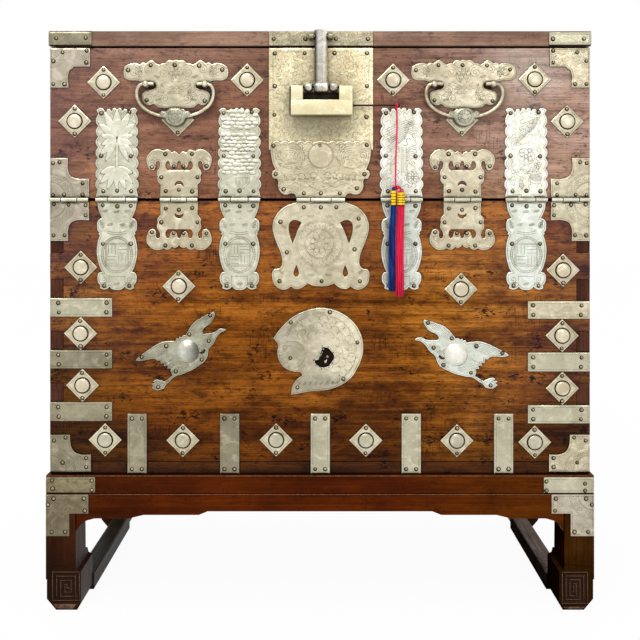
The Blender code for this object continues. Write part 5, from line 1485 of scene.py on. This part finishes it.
def barrel(name, middle, half):
    """Three round knuckles: the outer two on the chest, the middle one on the flap."""
    low, high = (middle - half) * PIXEL, (middle + half) * PIXEL
    first, second = low + 0.29 * (high - low), high - 0.29 * (high - low)
    knuckles = ((low, first, "carcass"), (first, second, "flap"), (second, high, "carcass"))
    for number, (start, end, body) in enumerate(knuckles):
        mesh = bmesh.new()
        turned(mesh, [(start + 0.0003, BARREL * 0.8), (start + 0.0007, BARREL), (end - 0.0007, BARREL),
                      (end - 0.0003, BARREL * 0.8)], "X", HINGE_Y, HINGE_Z, 24)
        show("%s_knuckle_%d" % (name, number), mesh, body, "dull_brass")


def board_end(face):
    """Half the width of the board under a fitting's face or back."""
    if face < FRONT - 0.0045:
        return STAND_END * PIXEL
    return HALF_WIDTH + (TOP_LIP if face < FRONT - 0.0022 else 0.0)


def make_nails():
    """Round heads, each on a slightly larger dark ring set a little down and to the left: a painted shadow.
    """
    for (body, face), places in nail_places.items():
        heads, shadow_rings = bmesh.new(), bmesh.new()
        pick = random.Random(len(places))
        for u, v in places:
            size = 0.0024 * pick.uniform(0.9, 1.1)
            limit = board_end(face) - 1.7 * size
            x, z = max(-limit, min(limit, u * PIXEL)), v * PIXEL
            turned(heads, [(face + 0.0004, size * 0.8), (face - 0.0002, size), (face - 0.0008, size * 0.92),
                           (face - 0.0013, size * 0.66), (face - 0.0016, size * 0.25)], "Y", x, z, 12)
            # Painted shadow: the dark ring sits a little down and to the left of the head.
            turned(shadow_rings, [(face + 0.0004, size * 1.52), (face - 0.00022, size * 1.44)], "Y",
                   x - 0.0003, z - 0.0003, 14)
        label = "%s_%d" % (body, round((FRONT - face) * 1e4))
        show("nails_" + label, heads, body, "nail_brass", angle=60)
        show("nail_shadow_rings_" + label, shadow_rings, body, "grime_and_shade")


def make_plate_shadows_and_grime():
    """Thin dark lines around each plate on the wood: painted shadow of its edge, with dirt and polish."""
    for body, outlined in shadow_and_grime_outlines.items():
        for back in sorted({back for loop, back in outlined}):
            limit = board_end(back) - 0.0017
            lines = [[(max(-limit, min(limit, u)), v) for u, v in rejoined(loop)]
                     for loop, level in outlined if level == back]
            name = "plate_shadow_and_grime_%s_%d" % (body, round((FRONT - back) * 1e4))
            ribbons(name, lines, body, back + GAP, "grime_and_shade", 0.0016, 0.00012)


BAIL_PATH = [
    (21.5, 0.0), (32.4, 0.0), (35.4, -1.4), (37.4, -4.6), (38.2, -9.4), (37.2, -15.2), (33.6, -21.4),
    (27.4, -26.6), (19.0, -30.4), (9.0, -32.6), (0.0, -33.2),
]
TURTLE = [
    (0.0, -23.8), (5.4, -24.6), (9.4, -27.4), (13.6, -27.0), (16.2, -29.4), (14.8, -32.4), (10.6, -33.8),
    (8.6, -38.0), (4.8, -41.2), (0.0, -42.2),
]


def handle_marks():
    """Curls, leaves and a flower on a handle plate, about the line of its posts."""
    marks = []
    for sign in (-1, 1):
        for u, v, radius, rounds, start, hand in ((42, 13, 5.4, 1.7, 90, 1), (27, 15, 4.8, 1.7, 90, -1),
                                                  (12, 12, 5.6, 1.8, 90, 1), (26, -13, 4.8, 1.7, -90, -1),
                                                  (11, -14, 5.0, 1.6, -90, 1)):
            marks.append(spiral(sign * u, v, radius, rounds, start, sign * hand))
        marks += [arc(sign * 12, 12, 8.0, 90 - sign * 60, 90 + sign * 70, 10),
                  arc(sign * 42, 13, 7.4, 20, 160, 10)]
        marks += leaf(sign * 2, -4, 14.0, 2.8, 90 - sign * 70) + leaf(sign * 3, 2, 10.0, 2.2, 90 - sign * 20)
        for angle, length in ((30, 11), (-20, 10), (-60, 9), (70, 8)):
            turn = angle if sign > 0 else 180 - angle
            marks += leaf(sign * 12, -8, length, 2.0, turn) + leaf(sign * 34, 13, length * 0.7, 1.7, turn)
        marks += hatch(sign * 19, 8, 3.6, 1.6, 0.7, sign * 20)
        marks += hatch(sign * 18, -15, 3.2, 1.6, 0.7, -sign * 20)
    marks += scales(-9.0, 9.0, -10.0, -2.0, 2.4)
    return marks + petals(0, 12, 2.0, 7.6, 7, 90) + petals(0, 12, 1.0, 4.4, 7, 64)


def make_handles():
    """Two handle plates with their posts, and the bails that hang in them."""
    nails = [(-47.5, 538), (-25, 543), (-1, 543), (23.5, 542.5), (46.5, 538.5), (-29, 508), (29, 507.3)]
    profile = [
        (FACE + 0.0006, 0.0056), (FACE - 0.0008, 0.0056), (FACE - 0.0016, 0.0048), (FACE - 0.0026, 0.0038),
        (POST_Y + 0.0040, 0.0038), (POST_Y + 0.0030, 0.0047), (POST_Y + 0.0014, 0.0054),
        (POST_Y - 0.0012, 0.0054), (POST_Y - 0.0030, 0.0044), (POST_Y - 0.0043, 0.0028),
        (POST_Y - 0.0048, 0.0010)]
    for side, x in HANDLES.items():
        node = "handle_plate_" + side
        loops = front_loops(node, holes=False)
        plate("sheet_" + node, loops, "flap", "white_brass", node)
        engrave(node, loops, "flap", FACE, handle_marks(), x, POST_Z, 1.5)
        nail("flap", FACE, nails, x)
        posts = bmesh.new()
        for sign in (-1.0, 1.0):
            knob(posts, profile, x + sign * 29.5, POST_Z, 22)
        show("posts_" + side, posts, "flap", "bail_brass", angle=60)
        shadows = [oval(sign * 25.0, -1.2, 5.4, 3.4, 18) for sign in (-1, 1)]
        relief("post_shadows_" + side, drawn(shadows, x, POST_Z), "flap", FACE, "stain_and_shade", 0.0001)
        make_bail(side, x)


def make_bail(side, x):
    """Bent rod, thinner in its middle, with a small turtle there."""
    body = "bail_" + side
    half = curve(BAIL_PATH, 5)
    path = [(-u, v) for u, v in half[:-1]] + half[::-1]
    mesh = bmesh.new()
    widths = [0.0028 * (0.86 + 0.14 * min(1.0, abs(len(path) / 2 - i) / 9)) for i in range(len(path))]
    tube(mesh, [((x + u) * PIXEL, POST_Y, (POST_Z + v) * PIXEL) for u, v in path], widths, 16)
    show("bail_rod_" + side, mesh, body, "bail_brass", node="handle_bail_" + side)
    shell, face = -32.6, POST_Y - 0.0030
    outline = TURTLE + [(-u, v) for u, v in TURTLE[-2:0:-1]]
    loop = curve(scaled(outline, x, POST_Z), 4, True, 60.0)
    swell = dome(x, POST_Z + shell, 9.0, 0.0026)
    mesh = sheet(bmesh.new(), [loop], face, POST_Y + 0.0036, swell, 0.0018, 0.0014, 0.0016)
    show("bail_turtle_" + side, mesh, body, "bird_brass", angle=60)
    marks = [arc(0, shell, 6.6, steps=20), arc(0, shell, 3.4, 30, 390, 6)]
    marks += [spoke(0, shell, 30 + 60 * i, 3.4, 6.6) for i in range(6)]
    for sign in (-1, 1):
        marks += [arc(sign * 13, -29.6, 1.6, steps=8), spiral(sign * 4.6, -28.6, 2.6, 1.4, 90, sign),
                  spiral(sign * 5.0, -35.4, 2.4, 1.4, -90, -sign),
                  arc(sign * 9.0, -30.4, 2.2, 90 - sign * 60, 90 + sign * 90, 8)]
    ribbons("engraving_turtle_" + side, drawn(marks, x, POST_Z), body, face, "stain_and_shade", 0.0005, swell=swell)


def turns(count):
    """Angles once round, the first again at the end."""
    return [2 * math.pi * i / count for i in range(count + 1)]


def make_strand(x, z):
    """Silk strand from the key's end through the knot into the red fringe; with its start and its length."""
    # Offsets from the key's end in metres, then across in metres and up from the floor in drawing units
    free = ((0.0, 0.0022), (0.0002, 0.010), (0.0005, 0.024), (0.0004, 0.040), (-0.0003, 0.058),
            (-0.0010, 0.076), (-0.0015, 0.094), (-0.0018, 0.112), (-0.0018, 0.126))
    bound = [(-0.0018, KNOT_Z), (-0.0010, 416.0), (0.0020, 410.0), (0.0042, 404.0), (0.0047, 396.0)]
    bound += [(0.0047, 380.0 - 15.0 * i) for i in range(5)]
    route = [(x + du, KEY_Y, z - dz) for du, dz in free] + [(x + du, KEY_Y, v * PIXEL) for du, v in bound]
    data = bpy.data.curves.new("tassel_strand", "CURVE")
    data.dimensions = "3D"
    data.bevel_depth = 0.0013
    data.bevel_resolution = 4
    data.use_fill_caps = True
    data.materials.append(LOOKS["red_silk"])
    spline = data.splines.new("POLY")
    smooth = curve(route, 6)
    spline.points.add(len(smooth) - 1)
    for point, place_at in zip(spline.points, smooth):
        point.co = (*place_at, 1.0)
    strand = linked("tassel_strand", data)
    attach(strand, "tassel")
    return strand, route[0], sum(math.dist(a, b) for a, b in zip(smooth, smooth[1:]))


def coiled(name, paths, look):
    """Loops of cord as one piece."""
    mesh = bmesh.new()
    for path in paths:
        tube(mesh, path, 0.0011, 8)
    return show(name, mesh, "tassel", look, angle=180)


def fringe(name, count, pick, middle, radius, centre, wide, top, bottom, crown):
    """Hanging threads that spread from a band's width to the fringe's, and the turns of yarn on the band."""
    mesh = bmesh.new()
    start = top + 0.002
    for i in range(count):
        reach = math.sqrt((i + 0.5) / count)
        angle = i * GOLDEN_ANGLE
        u, w = reach * math.cos(angle), reach * math.sin(angle) * 0.9
        sway = pick.uniform(-1, 1) * 0.0005
        drop = pick.uniform(0.0, 0.0026) if reach > 0.45 else 0.0
        path = []
        for t in (k / 7 for k in range(8)):
            share = min(1.0, 3.0 * t)
            wider = wide * 0.84 + (radius * (0.80 + 0.14 * t) - wide * 0.84) * share
            path.append((centre + (middle - centre) * share + u * wider + sway * math.sin(math.pi * t * 1.5),
                         KEY_Y + w * wider, start + (bottom + drop - start) * t))
        tube(mesh, path, 0.00064 if reach > 0.5 else 0.0008, 5)
    for k in range(3):
        ring = [(*polar(centre, KEY_Y, wide * 0.62, a), crown + 0.0011 * (k + 0.4)) for a in turns(20)]
        tube(mesh, ring, 0.0009 if k < 2 else 0.0006, 8)
    look = name + "_silk"
    return show("tassel_fringe_" + name, mesh, "tassel", look, "tassel_" + name, 180)


def make_tassel():
    """Cord looped round the key's end, a knot, and two fringes below ringed bands."""
    x, z, knot = 77.0 * PIXEL - 0.0022, KEY_Z * PIXEL, KNOT_Z * PIXEL
    strand, start, length = make_strand(x, z)
    loops = [[(offset + 0.0004 * math.sin(a), KEY_Y + 0.0027 * math.cos(a), z + 0.0027 * math.sin(a))
              for a in turns(22)] for offset in (x - 0.5 * 0.0021, x + 0.5 * 0.0021)]
    lumps = ((-0.0014, 0.0006, 0.0019), (0.0016, 0.0002, 0.0021), (0.0046, -0.0008, 0.0017),
             (0.0, -0.0020, 0.0018))
    knots = [[(x + du + size * math.cos(a), KEY_Y - 0.0006 + 0.0010 * math.sin(2 * a + k),
               knot + dv + size * 0.7 * math.sin(a)) for a in turns(18)]
             for k, (du, dv, size) in enumerate(lumps)]
    blue = [(x - 0.0046 + 0.0018 * math.cos(a), KEY_Y + 0.0012, knot - 0.0016 + 0.0015 * math.sin(a))
            for a in turns(18)]
    pieces = [coiled("tassel_loops", loops, "red_silk"), coiled("tassel_knot", knots, "red_silk"),
              coiled("tassel_blue_knot", [blue], "blue_silk")]
    pick = random.Random(8)
    bands, lines = bmesh.new(), bmesh.new()
    top, rolls = 403.0 * PIXEL, 5
    # Name, threads, sides of the fringe and of its band from the key's end, the band's top, the fringe's end
    for name, count, spread, band, crown, end in (("blue", 80, (-8.1, -1.3), (-5.6, -0.1), 417.2, 318.0),
                                                  ("red", 120, (-1.5, 7.3), (0.1, 8.4), 415.4, 313.0)):
        middle, radius = x + sum(spread) / 2 * PIXEL, (spread[1] - spread[0]) / 2 * PIXEL
        centre, wide = x + sum(band) / 2 * PIXEL, (band[1] - band[0]) / 2 * PIXEL
        crown *= PIXEL
        pieces.append(fringe(name, count, pick, middle, radius, centre, wide, top, end * PIXEL, crown))
        step = (crown - top) / rolls
        profile = [(top, wide * 0.6)]
        for k in range(rolls):
            level = top + k * step
            profile += [(level + 0.0001, wide * 0.90), (level + 0.3 * step, wide), (level + 0.7 * step, wide),
                        (level + step - 0.0001, wide * 0.90)]
            groove = [(level - 0.0005, wide * 0.96), (level + 0.0005, wide * 0.96)]
            turned(lines, groove, "Z", centre, KEY_Y, 18)
        turned(bands, profile + [(crown + 0.0002, wide * 0.5)], "Z", centre, KEY_Y, 18)
    pieces.append(show("tassel_bands", bands, "tassel", "gold_silk", angle=60))
    pieces.append(show("tassel_band_lines", lines, "tassel", "ring_silk", angle=60))
    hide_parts("tassel_cord")


def square_spiral(low, bottom, high, top, gap):
    """Line that winds inwards from the lower left corner, a gap at each turn."""
    path = [(low + gap, bottom + gap), (low + gap, top - gap)]
    for k in range(1, 4):
        path += [(high - k * gap, top - k * gap), (high - k * gap, bottom + k * gap),
                 (low + (k + 1) * gap, bottom + k * gap), (low + (k + 1) * gap, top - (k + 1) * gap)]
    return path[:-1]


def make_feet():
    """Square spiral carved on each front foot as dark grooves of painted shade beside pale ridges of painted
    highlight, over a worn lower edge.
    """
    face = FRONT - STAND_LIP - 0.001
    overlap = 0.45
    for side, sign, low, high, bottom, top, gap in (("left", -1.0, -267.2, -240.6, 8.5, 36.8, 4.1),
                                                    ("right", 1.0, 240.4, 265.6, 5.6, 36.6, 3.8)):
        path = square_spiral(low, bottom, high, top, gap)
        if sign > 0:
            path = [(low + high - u, v) for u, v in path]
        grooves = []
        for run in (rejoined(rectangle(low, bottom, high, top)), path):
            for (u0, v0), (u1, v1) in zip(run, run[1:]):
                length = math.hypot(u1 - u0, v1 - v0)
                du, dv = overlap * (u1 - u0) / length, overlap * (v1 - v0) / length
                grooves.append([(u0 - du, v0 - dv), (u1 + du, v1 + dv)])
        # The field stays inside the foot's front face, whose slanting lower corners are these lines
        outer, floor, crown = max(-low, high) + 1.4, bottom - 1.6, top + 2.0
        toe, slope = 262.4, 0.845
        field = [(242.2 - 0.5 * floor, floor), (toe + slope * floor, floor), (outer, (outer - toe) / slope),
                 (outer, crown), (240.6, crown), (238.7, 37.6), (238.7, 7.2)]
        field = [(sign * u, v) for u, v in field]
        relief("meander_field_" + side, [scaled(field[::int(sign)])], "carcass", face, "carved_wood", 0.00006)
        # Dark grooves are painted shade; pale ridges set a little up and right of them are painted highlight.
        ridges = [[(u + 0.95, v + 0.95) for u, v in line] for line in grooves]
        for name, lines, look, width, height in (("meander_", grooves, "grime_and_shade", 0.0015, 0.0006),
                                                 ("meander_highlight_", ridges, "worn_edge", 0.0006, 0.0003)):
            ribbons(name + side, drawn(lines), "carcass", face, look, width, height)
        chamfer = [(low + 4.6, 1.0), (high - 4.6, 1.0), (high - 0.4, bottom - 2.4), (low + 0.4, bottom - 2.4)]
        relief("worn_foot_" + side, [scaled(chamfer)], "carcass", face, "worn_foot", 0.00006)


def make_wear():
    """Pale lines of painted highlight along the stand's top edges, old cracks and marks in the panel, and the
    joint below it.
    """
    # Pale line along the top edge of the rail and of the apron: painted highlight.
    for name, node in (("rail", "stand_top_frame"), ("apron", "front_apron")):
        low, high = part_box(node)
        line = [(low[0] + 0.002 + (high[0] - low[0] - 0.004) * i / 40, high[2] - 0.0010) for i in range(41)]
        ribbons("worn_" + name, [line], "carcass", low[1], "worn_edge", 0.0005, 0.00008)
    pick = random.Random(21)
    cracks = []
    steps = 14
    for u, low, high in ((141, 215, 325), (182, 245, 320)):
        cracks.append([(u - MIDDLE_COLUMN + pick.uniform(-0.5, 0.5),
                        FLOOR_ROW - low - (high - low) * i / steps) for i in range(steps + 1)])
    cracks.append(seen((262, 438), (255, 445), (250, 452), (246, 460)))
    for _ in range(34):
        u, v = pick.gauss(165, 22) - MIDDLE_COLUMN, FLOOR_ROW - pick.gauss(262, 5)
        if abs(u + 139) > 22:
            cracks.append([(u, v), (u + pick.uniform(-0.6, 0.6), v + pick.uniform(3, 8))])
    for _ in range(110):
        u, v = pick.uniform(-200, 210), pick.uniform(175, 400)
        cracks.append([(u, v), (u + pick.uniform(1.0, 7), v + pick.uniform(-0.5, 0.5))])
    for middle_u, middle_v, count in ((112, 318, 16), (125, 328, 14), (165, 300, 10), (62, 322, 12),
                                      (-40, 300, 10), (90, 352, 8)):
        for _ in range(count):
            u, v = middle_u + pick.gauss(0, 9), middle_v + pick.gauss(0, 4)
            cracks.append([(u, v), (u + pick.uniform(0.8, 3.5), v + pick.uniform(-1.6, 1.6))])
    ledge = [(-269.5, 148.4), (269.5, 148.4)]
    for name, lines, width in (("panel_cracks", cracks, 0.00035), ("bottom_joint", [ledge], 0.0006)):
        ribbons(name, drawn(lines), "carcass", FRONT, "grime_and_shade", width, 0.00008)


def make_padlock():
    """Lock set: the kept solids' finishes, and the shackle as a block, an end plate, a rod and a bolt."""
    looks = {"lock_staple_left": "ball_silver", "lock_staple_right": "ball_silver", "hasp_bar": "ball_silver",
             "padlock_key": "iron", "hasp_top_plate": "crown_brass"}
    for node, look in looks.items():
        keep(node, look, 0.0006, 42.0)
    low, (right, back, _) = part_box("padlock_case")
    left, front, bottom = low[0] + 1.3 * PIXEL, low[1], low[2]
    shoulder, crown, rod = 506.5 * PIXEL, 520.2 * PIXEL, 519.5 * PIXEL
    inner, outer = (LOCK_X - 17.8) * PIXEL, (LOCK_X + 17.8) * PIXEL
    middle = (bottom + shoulder) / 2
    boards = (
        ("padlock_body", (left, front, bottom), (right, back, shoulder),
         "padlock_slider", "case_brass", "padlock_case", 0.0009),
        ("padlock_block", (outer, front + 0.0005, shoulder - 0.0030), (right - 0.0002, back - 0.0010, crown),
         "padlock_slider", "case_brass", None, 0.0007),
        ("shackle_block", (left + 0.0002, front + 0.0005, shoulder + GAP), (inner, back - 0.0010, crown),
         "flap", "case_brass", "padlock_shackle", 0.0007),
        # The end plate and its joint take a dark look: painted shade in the gap at the case's left end.
        ("shackle_end", (left - GAP - 0.0024, front + 0.0050, bottom + 0.0008),
         (left - GAP, back - 0.0006, crown - 0.0006), "flap", "pin_brass", None, 0.0006),
        ("shackle_joint", (left - 0.0022, front + 0.0056, shoulder + 0.0010),
         (left + 0.0040, back - 0.0014, crown - 0.0010), "flap", "pin_brass", None, 0.0004),
        ("shackle_bolt", (left - 0.0015, KEY_Y - 0.0040, middle - 0.0050),
         ((LOCK_X + 2) * PIXEL, KEY_Y + 0.0040, middle + 0.0050), "flap", "iron", None, 0.0008),
        # Dark wall in the lock's opening: painted shade.
        ("padlock_shade_wall", (inner + 0.0010, back - 0.0018, shoulder - 0.0012),
         (outer + 0.0010, back - 0.0006, 515.0 * PIXEL), "padlock_slider", "iron", None, 0.0003))
    for name, start, end, body, look, node, round_off in boards:
        board(name, start, end, body, look, node, round_off)
    mesh = bmesh.new()
    profile = [(inner - 0.0080, 0.0022), (outer + 0.0040, 0.0022), (outer + 0.0044, 0.0014)]
    turned(mesh, profile, "X", KEY_Y, rod, 16)
    show("shackle_rod", mesh, "flap", "iron")
    seam = [(outer + 0.0003, shoulder - 0.0006), (right - 0.0006, shoulder - 0.0006)]
    ribbons("padlock_seam", [seam], "padlock_slider", front + 0.0005, "stain_and_shade", 0.0005, 0.00012)


make_stage()
make_tassel()
make_boards()
make_padlock()
make_long_hinges()
make_fret_hinges()
make_centre_hinge()
make_lock_plates()
make_corners()
make_diamonds()
make_straps()
make_birds()
make_tortoise()
make_handles()
make_feet()
make_wear()
make_nails()
make_plate_shadows_and_grime()
